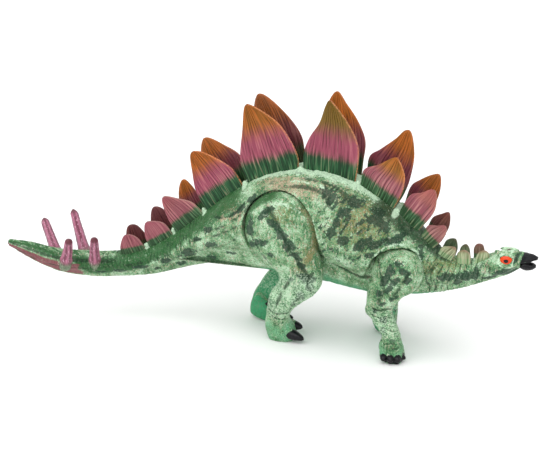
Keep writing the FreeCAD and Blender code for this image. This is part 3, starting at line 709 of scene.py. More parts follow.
FRONT_LEG = {"name": "front", "pivot": SHOULDER,
             "sections": FRONT_LEG_SECTIONS, "claws": FRONT_CLAWS, "nail_start": 2.6, "outer": 23.8,
             "left_extra": 1.7, "low": (52, -29, -3), "high": (90, -7, 65)}


def swung(points, pivot, degrees):
    """Points turned about a pivot; the foot goes forward for positive angles."""
    turn = math.radians(degrees)
    across, up = points[..., 0] - pivot["x"], points[..., 2] - pivot["z"]
    turned = np.array(points, float)
    turned[..., 0] = pivot["x"] + across * math.cos(turn) - up * math.sin(turn)
    turned[..., 2] = pivot["z"] + across * math.sin(turn) + up * math.cos(turn)
    return turned


def leg_rings(leg, stretch):
    """Rounded sections down a right leg, stretched downward from its pivot."""
    rows = np.array(leg["sections"], float)
    rows[:, 1] = leg["pivot"]["z"] - (leg["pivot"]["z"] - rows[:, 1]) * stretch
    angle = np.linspace(0, 2 * math.pi, 48, endpoint=False)
    reach = np.sign(np.cos(angle)) * np.abs(np.cos(angle)) ** 0.8
    depth = np.sign(np.sin(angle)) * np.abs(np.sin(angle)) ** 0.8
    rings = []
    for centre_x, centre_z, half, tilt, inner, outer in catmull(rows, 8):
        tilt = math.radians(tilt)
        rings.append(np.stack([centre_x + reach * half * math.cos(tilt),
                               -(inner + outer) / 2 - depth * (outer - inner) / 2,
                               centre_z + reach * half * math.sin(tilt)], axis=1))
    return np.array(rings)


def crowned_disc(pivot, outer):
    """The round top of a right leg: flat inside and domed outside."""
    inner = pivot["floor"] + FACE_GAP
    crown = outer - inner

    def distance(x, y, z):
        radius = np.hypot(x - pivot["x"], z - pivot["z"])
        share = np.clip(radius / pivot["disc"], 0, 1)
        rise = DISC_RIM_SHARE + (1 - DISC_RIM_SHARE) * (1 - share ** 3.2) ** 0.6
        across = np.maximum(radius - pivot["disc"], inner + y)
        return -smooth_least(-across, inner + crown * rise + y, LEG_FILLETS["disc rim"])
    return distance


def claw_direction(heading):
    """The way a claw points on a right leg, a little downward."""
    turn = math.radians(heading)
    return unit((math.cos(turn), -math.sin(turn), -CLAW_DROOP))


def shape_leg(leg, swing, stretch):
    """The right leg's surface in its straight stance, trimmed by the floor it stands on."""
    pivot = leg["pivot"]
    field = Field(leg["low"], leg["high"], LEG_VOXEL)
    field.set_mesh(*skin_of_rings(leg_rings(leg, stretch)))
    field.add(leg["low"], leg["high"], crowned_disc(pivot, leg["outer"]), LEG_FILLETS["disc"])
    for centre, radii in LEG_BULGES[leg["name"]]:
        bulge(field, centre, radii, LEG_FILLETS["muscle"])
    for x, y, z, _, radius, heading in leg["claws"]:
        foot = pivot["z"] - (pivot["z"] - z) * stretch
        base = np.array([x, -y, foot])
        heel = base - claw_direction(heading) * TOE_LENGTH
        toe = rod(heel, base - claw_direction(heading) * 0.6, radius + 1.0, radius + 0.2)
        field.add(base - 9, base + 6, toe, LEG_FILLETS["toe"])
    inner = pivot["floor"] + FACE_GAP
    field.carve((leg["low"][0], -inner - 3, pivot["z"] - pivot["disc"] - 6), leg["high"],
                lambda x, y, z: -(inner + y) + 0 * x + 0 * z)
    turn = math.radians(swing)
    field.carve(leg["low"], leg["high"], lambda x, y, z: (
        pivot["z"] + (x - pivot["x"]) * math.sin(turn) + (z - pivot["z"]) * math.cos(turn)) + 0 * y)
    return field.mesh()


# Muscles and joints that stand out on a right leg: centre, half sizes.
LEG_BULGES = {
    "rear": (((12, -24, 58), (11, 4, 12)), ((24, -22, 47), (8, 4.6, 9)),
             ((26.5, -20.6, 39.5), (5.6, 4.4, 5)), ((7.8, -18.4, 25), (4, 3.6, 6)),
             ((2.6, -13, 9), (2.4, 4.4, 3.6))),
    "front": (((74, -21.6, 52), (8, 3, 8)), ((66, -20.6, 38), (7.4, 3.4, 6.4)),
              ((60, -18.6, 27.6), (3.6, 3.4, 3.6)), ((66.8, -18, 8.2), (2.6, 3.6, 3.4))),
}


def tapered_tube(path, radii, around, flatten=1.0):
    """Points and faces of a closed tube along a path, with a radius at each of its points."""
    heading = unit_rows(np.gradient(path, axis=0))
    side = unit_rows(np.cross(heading, (0.0, 0.0, 1.0)))
    up = np.cross(side, heading)
    angle = np.linspace(0, 2 * math.pi, around, endpoint=False)[None, :, None]
    spokes = np.cos(angle) * side[:, None, :] + flatten * np.sin(angle) * up[:, None, :]
    return closed_skin(path[:, None, :] + radii[:, None, None] * spokes)


def claw_tube(values, stretch, pivot):
    """A blunt, slightly arched claw of a right leg."""
    x, y, z, length, radius, heading = values
    base = np.array([x, -y, pivot["z"] - (pivot["z"] - z) * stretch])
    direction = claw_direction(heading)
    share = np.linspace(-0.35, 1.0, 14)
    path = base + direction * (share * length)[:, None]
    outer = np.maximum(share, 0)
    path[:, 2] += 0.5 * (1 - share ** 2) * outer
    width = radius * np.sqrt(np.clip(1 - outer ** 3.0, 0.0, 1)) * (1.12 - 0.40 * outer)
    path[:, 2] = np.maximum(path[:, 2], width * 0.9)
    return tapered_tube(path, np.maximum(width, 0.05), 18, 0.9)


def build_leg(leg, side, skin, claw_paint):
    """A leg and its claws, shaped as a straight right leg, then swung and mirrored."""
    pivot, side_name = leg["pivot"], SIDE_NAMES[side]
    swing = LEFT_REST_SWING if side == LEFT else 0.0
    stretch = 1 + (leg["left_extra"] if side == LEFT else 0.0) / pivot["z"]
    body = "%s_leg_%s_limb" % (leg["name"], side_name)

    def placed(points, faces, lowest):
        """A right leg's piece in its own place, no lower than the given height."""
        points = swung(points, pivot, swing)
        if side == LEFT:
            points = points * (1, -1, 1)
            faces = [tuple(reversed(f)) for f in faces]
        points[:, 2] = np.maximum(points[:, 2], lowest)
        return points, faces

    points, quads = shape_leg(leg, swing, stretch)
    normals = vertex_normals(points, quads)
    height = leg_relief(leg, points, normals)
    masks = leg_masks(leg, points, normals, height)
    points, faces = placed(points + normals * height[:, None], quads, 0.0)
    piece = make_piece("%s_leg_skin_%s" % (leg["name"], side_name), points, faces, body,
                       skin, masks)
    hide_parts("%s_leg_%s" % (leg["name"], side_name))
    for number, values in enumerate(leg["claws"], start=1):
        points, faces = placed(*claw_tube(values, stretch, pivot), CLAW_CLEARANCE)
        make_piece("%s_claw_%s_%d" % (leg["name"], side_name, number), points, faces, body,
                   claw_paint)


def build_legs(skin, claw_paint):
    for leg in (REAR_LEG, FRONT_LEG):
        for side in SIDE_NAMES:
            build_leg(leg, side, skin, claw_paint)


# Creases and blotches of the legs, in the same terms as those of the body.
LEG_CREASES = {
    "rear": ((((4, 80), (11, 72), (16, 62), (22, 52), (28, 44)), 1.2, 0.55),
             (((-4, 62), (2, 54), (8, 46), (12, 38)), 1, 0.4),
             (((30, 46), (27, 40), (29, 34)), 0.8, 0.5),
             (((16, 38), (12, 32), (9, 24)), 0.9, 0.5),
             (((22, 30), (17, 24), (15, 17)), 0.8, 0.4),
             (((4, 19), (9, 17.6), (16, 18.6)), 0.7, 0.4),
             (((5, 15.6), (10, 14), (17, 14.8)), 0.6, 0.35),
             (((-2, 74), (4, 79), (11, 81.4), (18, 80), (25, 75)), 0.9, -0.3)),
    "front": ((((63, 56), (66, 48), (67, 40), (64, 33)), 1, 0.5),
              (((80, 52), (76, 44), (72, 38)), 0.9, 0.5),
              (((60, 31), (64, 29), (70, 30.6)), 0.7, 0.45),
              (((61, 26.4), (65, 25), (70, 26)), 0.7, 0.4),
              (((66, 12), (70, 11), (75, 12.6)), 0.6, 0.4),
              (((66, 9), (70, 8), (76, 9.4)), 0.6, 0.35),
              (((60.6, 58), (66, 61.6), (73, 61.8), (80, 58)), 0.8, -0.25)),
}
LEG_BLOTCHES = {
    "rear": ((4, 76, 5, 2.2, 38), (-4.6, 66, 2.2, 5.4, -6), (9, 70.6, 3.8, 2, -30),
             (13, 66, 4.2, 2.8, -40), (18, 60.6, 4.4, 3, -50), (21.6, 55, 3.4, 2.6, -50),
             (0.6, 59.6, 4.6, 2, 10), (24.4, 50, 2.6, 2, -40), (-4, 57, 2.4, 1.6, 30),
             (8, 54, 2.4, 1.2, 20), (26.6, 42.6, 4.8, 3.2, -20), (28.6, 37.6, 2.6, 3, 10),
             (18.4, 41, 2.4, 1.4, 20), (22.6, 31.6, 2.2, 3.4, -24), (18.6, 25.4, 1.6, 2.8, -20),
             (6.4, 36, 1.6, 3, 20), (4, 26, 1.2, 2.4, 10), (16.4, 60, 2.2, 1.2, 0)),
    "front": ((74, 56.6, 3.4, 1.6, 20), (77.6, 52.4, 3.2, 2, -30), (70.6, 52, 3, 2.6, 50),
              (73.4, 47.4, 4, 2.2, 38), (67.6, 46.4, 2.2, 3.6, -24), (79.6, 48, 2.4, 1.8, 20),
              (69.8, 41.6, 3.4, 1.8, 40), (65.2, 39.6, 1.8, 2.6, 0), (72.6, 37, 2.4, 1.5, 20),
              (67, 33.6, 2.6, 1.2, 30), (62.6, 28.4, 1.2, 2.2, 0), (67, 24, 2.2, 1.4, 20),
              (66.8, 18.6, 1.2, 2, 10), (72, 13, 2.2, 1.2, 0)),
}
SHANK_PITCH = 2.2
# Wrinkles round each lower leg: highest z, lowest z, depth.
SHANK_RIBS = {"rear": (31, 14, 0.16), "front": (33, 10, 0.30)}


def leg_relief(leg, points, normals):
    """How far a leg's skin stands out or in, in millimetres."""
    x, z = points[:, 0], points[:, 2]
    sideways = smoothstep(0.2, 0.6, np.abs(normals[:, 1]))
    height = 0.13 * layered_noise(points, 3.0, 11)
    height -= 0.10 * cell_pattern(points, 1.5, 7)
    height += crease_field(x, z, LEG_CREASES[leg["name"]]) * (0.3 + 0.7 * sideways)
    top, bottom, depth = SHANK_RIBS[leg["name"]]
    wander = 0.8 * smooth_noise(points, 5.0, 41)
    shank = window(z, bottom - 3, bottom + 1, top - 2, top + 2)
    height -= depth * shank * rings_of(z + 0.3 * x + wander, SHANK_PITCH)
    inner_face = leg["pivot"]["floor"] + FACE_GAP + 0.6
    height[np.abs(points[:, 1]) < inner_face] *= 0.4
    pocket_edge = smoothstep(leg["pivot"]["disc"] * 1.1, leg["pivot"]["disc"] * 0.9,
                             np.hypot(x - leg["pivot"]["x"], z - leg["pivot"]["z"]))
    return np.minimum(height, 0.35 + 0.4 * pocket_edge)


def leg_masks(leg, points, normals, height):
    """Where each colour of paint lies on a leg. A mask that is left out counts as 0."""
    x, z = points[:, 0], points[:, 2]
    pivot = leg["pivot"]
    wander = 0.46 * layered_noise(points, 2.2, 71) + 0.34 * smooth_noise(points, 0.9, 72)
    blotch = blotch_field(x, z, LEG_BLOTCHES[leg["name"]], wander)
    plain = smoothstep(0.3, 0.7, normals[:, 1])
    foot = 1 - smoothstep(8, 18, z)
    nails = np.zeros(len(points))
    for base_x, base_y, base_z, _, radius, heading in leg["claws"]:
        start = np.array([base_x, -base_y, base_z]) + claw_direction(heading) * leg["nail_start"]
        near = np.linalg.norm((points - start) * (1, 1, 0.8), axis=1)
        nails = np.maximum(nails, smoothstep(radius * 1.2, radius * 1.0, near))
    nails *= smoothstep(9.5, 8.0, z)
    shank = smoothstep(pivot["z"] - 14, pivot["z"] - 26, z) * (1 - foot)
    masks = {"height": height, "blotch": blotch * (1 - 0.8 * foot), "pale": 0.42 * shank,
             "belly": np.maximum(plain, 0.45 * foot), "beak": nails}
    if leg["name"] == "rear":
        from_pivot = np.hypot(x - pivot["x"], z - pivot["z"]) / pivot["disc"]
        bearing = np.degrees(np.arctan2(z - pivot["z"], x - pivot["x"]))
        rim = window(from_pivot, 0.80, 0.93, 1.02, 1.08)
        masks["tan"] = np.maximum(0.8 * rim * window(bearing, -75, -40, 40, 62),
                                  0.36 * patch(x, z, (24, 53), (7, 12), 0.5 * wander, sharp=0.5))
        masks["dorsal"] = rim * smoothstep(80, 110, bearing)
        masks["olive"] = 0.5 * patch(x, z, (12, 76), (9, 6), 0.5 * wander)
    return masks


# ---- back plates
# Back plates of each row, tail to neck: thickness, then the outline as x and z from the
# back corner of the root, over the top, to the front corner of the root.
RIGHT_PLATES = (
    (1.6, ((-86, 36.8), (-86.5, 41), (-84.5, 47.5), (-80.5, 48.5), (-76.5, 46), (-73, 40.2))),
    (1.7, ((-71, 41.2), (-73, 47.5), (-72.5, 55.5), (-67, 57), (-61.5, 55.5), (-57.5, 49.2))),
    (1.8, ((-56, 51.2), (-60, 59), (-62.5, 68), (-61, 71.8), (-53.5, 71.2), (-45.5, 69.5),
           (-39.5, 64.2))),
    (2, ((-38, 66.6), (-43, 76), (-44.5, 87), (-45, 97), (-41, 99.5), (-33, 97.5),
           (-22, 91.5), (-16, 82.6))),
    (2.2, ((-13.5, 85.2), (-17, 96.5), (-15, 114), (-13.5, 126), (-10.5, 128),
           (-3.5, 125), (5, 119), (11, 110.5), (15, 101.5), (15, 94.2))),
    (2.2, ((17.5, 94.8), (18, 104), (21.5, 113), (27, 121.5), (30.5, 131), (33, 134),
           (38, 129), (44, 120), (47.5, 111), (47.5, 102), (46, 91.4))),
    (2, ((48.5, 90.2), (50.5, 98.5), (58, 102), (66.5, 107), (69.5, 105), (72, 98),
           (71.5, 91), (69, 84), (66.5, 79.2))),
    (1.8, ((69.2, 77.4), (72, 83), (75.5, 88), (80.5, 89.5), (86, 92), (88.5, 89.5),
           (87.5, 80), (80.5, 69.4))),
    (1.6, ((82, 67.2), (84.5, 72), (89, 72.5), (93.5, 73), (94, 69), (91.5, 64),
           (88.4, 60.6))),
    (1.5, ((90.4, 57.8), (92, 61), (95.5, 62), (99, 61.8), (99.2, 58.5), (97.4, 54.8))),
    (1.4, ((99.8, 54.6), (100.2, 59), (103.5, 61), (106.5, 59), (107, 54.8))),
    (1.4, ((109, 55), (110.5, 60), (113.5, 62), (116, 60.5), (116.2, 57.2))),
)
LEFT_PLATES = (
    (1.6, ((-86, 36.8), (-86.5, 44), (-85.5, 50), (-81.5, 51), (-77.5, 47.5), (-73, 40.2))),
    (1.7, ((-71, 41.2), (-73.5, 52), (-73, 60), (-69.5, 61.5), (-64.5, 58.5), (-57.5, 49.2))),
    (1.8, ((-55, 52), (-58, 67), (-57.5, 75), (-55, 78), (-51, 75.5), (-46, 70),
           (-39.5, 64.2))),
    (2, ((-38, 66.6), (-44, 80), (-45.5, 92), (-45, 100), (-41.5, 102.5),
           (-32, 99.5), (-22, 94.5), (-16, 82.6))),
    (2.2, ((-13.5, 85.2), (-18, 98), (-16, 114), (-14.5, 126.5), (-11, 129),
           (-3.5, 125), (6, 117), (12, 109.5), (14, 103), (15, 94.2))),
    (2.2, ((17.5, 94.8), (18, 107), (23, 118.5), (27, 130), (31, 134), (36, 128),
           (42.5, 119.5), (47, 109.5), (46.5, 99), (46, 91.4))),
    (2, ((48.5, 90.2), (49.5, 101.5), (55, 106), (62.5, 112), (67.5, 117), (71, 115.5),
           (73, 104), (71.5, 92), (69, 84), (66.5, 79.2))),
    (1.8, ((69, 77.6), (72, 88), (76.5, 92), (83, 95.5), (87, 95.5), (87.5, 88),
           (85, 79), (80.5, 69.4))),
    (1.6, ((82, 67.2), (84.5, 73), (89, 75.5), (93, 76.5), (93.5, 70), (91.2, 64.2),
           (88.4, 60.6))),
    (1.5, ((90.4, 57.8), (92.6, 62), (97, 63), (98.4, 58.5), (97.6, 54.5))),
    (1.4, ((99.2, 54.6), (100, 59), (102.5, 61), (104.5, 59), (105.4, 54.8))),
    (1.4, ((107, 54.9), (106.8, 59.5), (108.5, 62), (111.5, 61.5), (113, 56))),
)
PLATES = {RIGHT: RIGHT_PLATES, LEFT: LEFT_PLATES}
PLATE_SPLAY = 6.0                 # degrees outward from upright
PLATE_ROOT_DEPTH = 3.2            # how far a root reaches into its slot
PLATE_ROOT_TAPER = 0.04           # share of the root's length lost at each end by its foot
ROW_OFFSETS = ((-90, 3.2), (-60, 4.2), (-20, 5.2), (60, 5.2), (90, 4),
               (120, 3.2))
RIB_PITCH = 1.7
PLATE_RELIEF = 0.26               # how far the ribs stand out
PLATE_BOW = 0.021                 # share of the root's length
# Paint on each plate from 0 to 1: how orange its tip is, how olive, how pale and how dark.
PLATE_PAINT = {
    RIGHT: ((0, 0, 0.1, 0.1), (0, 0, 0.1, 0), (0.1, 0, 0.1, 0), (0.95, 0, 0, 0),
            (0.95, 0.2, 0, 0), (0.9, 0.9, 0, 0), (1, 0.1, 0.1, 0), (0.3, 0, 0.1, 0),
            (0.1, 0, 0.2, 0.1), (0, 0.6, 0.9, 0), (0, 0.3, 0.95, 0), (0, 0.1, 1, 0)),
    LEFT: ((0, 0, 0, 0.8), (0, 0, 0, 0.7), (1, 0.3, 0, 0.1), (1, 0.1, 0, 0.2),
           (1, 0, 0, 0.6), (1, 0.2, 0, 0.1), (1, 0.3, 0, 0.1), (1, 0, 0, 0.3),
           (0.2, 0, 0.1, 0.5), (0, 0, 1, 1), (0, 0, 0.9, 0.8), (0, 0, 0.3, 0.1)),
}


def plate_frame(side, outline):
    """A plate's back root corner, along, rise and normal, and its outline on the plate."""
    (back_x, back_z), (front_x, front_z) = outline[0], outline[-1]
    offsets = np.array(ROW_OFFSETS).T
    back, front = (np.array([x, spine_y(x) + side * np.interp(x, *offsets), z])
                   for x, z in (outline[0], outline[-1]))
    along = unit(front - back)
    upright = unit(np.array([0, 0, 1.0]) - along * along[2])
    outward = np.cross(along, upright) * -side
    splay = math.radians(PLATE_SPLAY)
    rise = upright * math.cos(splay) + outward * math.sin(splay)
    level = math.hypot(front_x - back_x, front_z - back_z)
    slope = np.array([front_x - back_x, front_z - back_z]) / level
    offset = np.array(outline) - outline[0]
    flat = np.stack([offset @ slope * np.linalg.norm(front - back) / level,
                     offset[:, 1] * slope[0] - offset[:, 0] * slope[1]], axis=1)
    return back, along, rise, unit(np.cross(along, rise)), flat


def evenly(line, count):
    """count points spaced evenly along a line."""
    gaps = np.linalg.norm(np.diff(line, axis=0), axis=1)
    walked = np.concatenate([[0], np.cumsum(gaps)])
    wanted = np.linspace(0, walked[-1], count)
    return np.stack([np.interp(wanted, walked, line[:, i]) for i in range(2)], axis=1)


def plate_grid(edge, peak, length):
    """Rows of points from a plate's root to its tip: u along the root, v up, share of the row."""
    across = max(24, int(length * 4))
    steps = max(20, int(edge[peak, 1] * 2.2))
    root_back = (PLATE_ROOT_TAPER * length, -PLATE_ROOT_DEPTH)
    root_front = ((1 - PLATE_ROOT_TAPER) * length, -PLATE_ROOT_DEPTH)
    back_edge = evenly(np.concatenate([[root_back], edge[:peak + 1]]), steps + 1)[:, None]
    front_edge = evenly(np.concatenate([[root_front], edge[:peak - 1:-1]]), steps + 1)[:, None]
    share = np.linspace(0, 1, across + 1)
    flat = back_edge * (1 - share)[:, None] + front_edge * share[:, None]
    return flat[..., 0], flat[..., 1], share


def plate_ribs(u, v, share, length, tip, seed):
    """The grooves between a plate's ribs and the streaks along them, which fan to its tip."""
    def noise(across, up, *rest):
        places = np.stack([across, up, np.zeros_like(u)], axis=-1).reshape(-1, 3)
        return layered_noise(places, 1.0, *rest).reshape(u.shape)

    centre_line = u - (tip[0] - length * 0.5) * v / tip[1]
    rib_place = 0.6 * centre_line + 0.4 * share * length
    wander = noise(u * 0.35, v * 0.12, seed, 1)
    rib = np.abs(np.sin(math.pi * (rib_place + 0.45 * wander) / RIB_PITCH))
    broken = smoothstep(-0.75, 0.15, noise(u * 0.6, v * 0.10, seed + 9, 1))
    return (1 - smoothstep(0.0, 0.55, rib)) * broken, noise(rib_place / 0.45, v / 9.0, seed + 40, 2)


def closed_sheet(shape):
    """Faces over two sheets of rows of points and round the border between them."""
    index = np.arange(shape[0] * shape[1]).reshape(shape)
    near = [(index[i, j], index[i, j + 1], index[i + 1, j + 1], index[i + 1, j])
            for i in range(shape[0] - 1) for j in range(shape[1] - 1)]
    far = [tuple(index.size + k for k in reversed(face)) for face in near]
    border = [*index[0], *index[1:, -1], *index[-1, -2::-1], *index[-2:0:-1, 0]]
    ring = [(border[i], border[i - 1], index.size + border[i - 1], index.size + border[i])
            for i in range(len(border))]
    return near + far + ring


def build_plate(side, number, thick, outline, paint):
    """A thin ribbed leaf, slightly bowed, with its root let into the back."""
    back, along, rise, normal, flat_outline = plate_frame(side, outline)
    length = flat_outline[-1, 0]
    edge = catmull(flat_outline, 12)
    peak = int(np.argmax(edge[:, 1]))
    tip = edge[peak]
    u, v, share = plate_grid(edge, peak, length)
    from_edge = distance_to_route(u, v, edge)
    rim = 1 - smoothstep(0.25, 0.75, distance_to_route(u, v, edge[peak:]))
    groove, streak = plate_ribs(u, v, share, length, tip, number * 7 + (3 if side == LEFT else 0))
    groove = groove * smoothstep(0.3, 1.6, from_edge)
    half = thick / 2 * (0.5 + 0.5 * smoothstep(0.0, 5.0, from_edge)) + 0.12 * rim
    half += PLATE_RELIEF * (1 - 1.5 * groove) * smoothstep(0, 2.5, from_edge) + 0.07 * streak
    half = np.maximum(half, 0.12) * np.sqrt(smoothstep(-0.05, 0.45, from_edge))
    half = np.where(v < 0, thick / 2, half)
    bow = side * PLATE_BOW * length * (4 * share * (1 - share) - 0.5) * (0.3 + v / tip[1])
    middle = back + along * u[..., None] + rise * v[..., None]
    points = np.concatenate([(middle + normal * (bow + face * half)[..., None]).reshape(-1, 3)
                             for face in (1, -1)])
    masks = {"level": np.clip(v / tip[1], -0.2, 1), "groove": groove, "rim": rim, "streak": streak}
    masks = {name: np.tile(value.reshape(-1), 2) for name, value in masks.items()}
    facing = np.sign(normal[1]) * np.repeat((1, -1), u.size)
    # inner: 1 on the faces turned towards the other row, which the plate paint makes darker, partly as
    # painted shade.
    masks["inner"] = (facing * side < 0).astype(float)
    for name, value in zip(("orange", "olive", "pale", "dark"), PLATE_PAINT[side][number - 1]):
        masks[name] = np.full(len(points), value)
    name = "%s_%02d" % (SIDE_NAMES[side], number)
    piece = make_piece("plate_leaf_" + name, points, closed_sheet(u.shape), TRUNK,
                       paint, masks)
    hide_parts("plate_" + name)


def build_plates(paint):
    """Two rows of plates, numbered from tail to neck."""
    for side in SIDE_NAMES:
        for number, (thick, outline) in enumerate(PLATES[side], start=1):
            build_plate(side, number, thick, outline, paint)


# ---- tail spikes
# Tail spikes: root x and z, then how far each reaches forward, outward and up.
TAIL_SPIKES = {
    "right_rear": (RIGHT, -115, 33.8, 1.8, 11.6, 16.2),
    "right_front": (RIGHT, -101, 32.8, 0.6, 11.4, 17.2),
    "left_rear": (LEFT, -118.6, 35.4, -5, 13, 16.2),
    "left_front": (LEFT, -105.4, 34, -5.4, 11.6, 21.8),
}
SPIKE_OFFSET = 4.1                # from the middle of the tail to a spike's root
SPIKE_AROUND = 40
SPIKE_RADIUS = 3.1
SPIKE_TAPER = 1.0
SPIKE_FOOT_SWELL = 0.7
SPIKE_BURIED = 0.20               # length inside the tail, as a share of the spike's reach
SPIKE_FLUTES = 5


def build_spike(name, side, root_x, root_z, forward, out, up, paint):
    """A blunt fluted horn on a wide foot."""
    slope = 2 * TAIL_BEND_DEPTH * (TAIL_BEND_X - root_x) / TAIL_BEND_SPAN ** 2
    heading = unit((1, slope, 0))
    outward = np.array([-heading[1], heading[0], 0]) * side
    root = np.array([root_x, spine_y(root_x), root_z]) + outward * SPIKE_OFFSET
    reach = heading * forward + outward * out + np.array([0, 0, up])
    share = np.concatenate([np.linspace(-SPIKE_BURIED, 0.95, 46),
                            0.95 + 0.11 * np.sin(np.linspace(0.1, 1.5, 10))])
    path = root + reach * share[:, None]
    radii = SPIKE_RADIUS - SPIKE_TAPER * np.clip(share, 0, 1)
    radii += SPIKE_FOOT_SWELL * (1 - smoothstep(-0.05, 0.34, share))
    radii = radii * np.sqrt(np.clip(1 - smoothstep(0.95, 1.062, share), 0.0, 1))
    points, faces = tapered_tube(path, np.maximum(radii, 0.04), SPIKE_AROUND)
    centre = np.concatenate([np.repeat(path, SPIKE_AROUND, axis=0), path[:1], path[-1:]])
    around = unit_rows(points - centre)
    angle = np.arctan2(around @ outward, around @ heading)
    level = np.concatenate([np.repeat(share, SPIKE_AROUND), share[:1], share[-1:]])
    flute = np.sin(angle * SPIKE_FLUTES + 1.4 * smooth_noise(points, 6.0, 3)) * smoothstep(0.05, 0.3, level)
    relief = 0.18 * flute + 0.10 * layered_noise(points, 1.6, 21)
    relief = relief * (1 - smoothstep(0.9, 1.0, level))
    points = points + around * relief[:, None]
    piece = make_piece("tail_horn_" + name, points, faces, TRUNK, paint,
                       {"level": level, "flute": flute})
    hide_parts("tail_spike_" + name)


def build_spikes(paint):
    for name, values in TAIL_SPIKES.items():
        build_spike(name, *values, paint)


# ---- head pieces
EYE = {"x": 125, "z": 58.6, "out": 4.6, "radius": 2.7}
EYE_LENGTH_SHARE = 1.25           # an eye is longer than it is tall


def build_eyes(paint):
    """Balls whose iris and pupil are painted around the way each eye looks."""
    radius = EYE["radius"]
    around = np.linspace(0, 2 * math.pi, 48, endpoint=False)[:, None]
    for side, side_name in SIDE_NAMES.items():
        centre = np.array([EYE["x"], side * EYE["out"], EYE["z"]])
        look = unit((0.10, side * 1.0, 0.05))
        start = unit(np.cross(look, (0, 0, 1.0)))
        circle = np.cos(around) * start + np.sin(around) * np.cross(look, start)
        rings = np.array([centre + radius * (math.cos(turn) * look + math.sin(turn) * circle)
                          for turn in np.linspace(0.0, math.pi, 33)[1:-1]])
        points, faces = closed_skin(rings)
        points[-2:] = centre + radius * look, centre - radius * look
        spread = np.degrees(np.arccos(np.clip(unit_rows(points - centre) @ look, -1, 1)))
        points[:, 0] = EYE["x"] + (points[:, 0] - EYE["x"]) * EYE_LENGTH_SHARE
        piece = make_piece("eye_ball_" + side_name, points, faces, TRUNK, paint,
                           {"spread": spread})
        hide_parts("eye_" + side_name)


# Sections of the lower beak: x, lowest z, highest z, half width.
LOWER_BEAK_STATIONS = ((131.8, 53.8, 57.4, 3.6), (133, 53.2, 58, 4.3), (134.8, 52.8, 57.9, 3.9),
                       (136.4, 53, 57, 3.2), (138, 53.4, 56.7, 2.4), (139.3, 54.4, 55.9, 0.9))


def build_lower_beak(paint):
    """The lower beak, whose root lies hidden in the mouth."""
    places = np.linspace(LOWER_BEAK_STATIONS[0][0], LOWER_BEAK_STATIONS[-1][0], 60)
    angle = np.linspace(0, 2 * math.pi, 56, endpoint=False)
    rings = [np.stack([np.full(len(angle), x), width * np.cos(angle),
                       (low + high) / 2 + (high - low) / 2 * np.sin(angle)], axis=1)
             for x, (low, high, width) in zip(places, through(LOWER_BEAK_STATIONS, places))]
    points, faces = closed_skin(np.array(rings))
    outward = unit_rows(points - points.mean(0))
    points = points + outward * (0.10 * layered_noise(points, 2.0, 9))[:, None]
    piece = make_piece("lower_beak_horn", points, faces, TRUNK, paint)
    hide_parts("lower_beak")


# ---- materials
def colour(red, green, blue):
    """A shader colour from red, green and blue in 0 to 255."""
    shares = [v / 255 for v in (red, green, blue)]
    return tuple(v / 12.92 if v <= 0.04045 else ((v + 0.055) / 1.055) ** 2.4
                 for v in shares) + (1.0,)


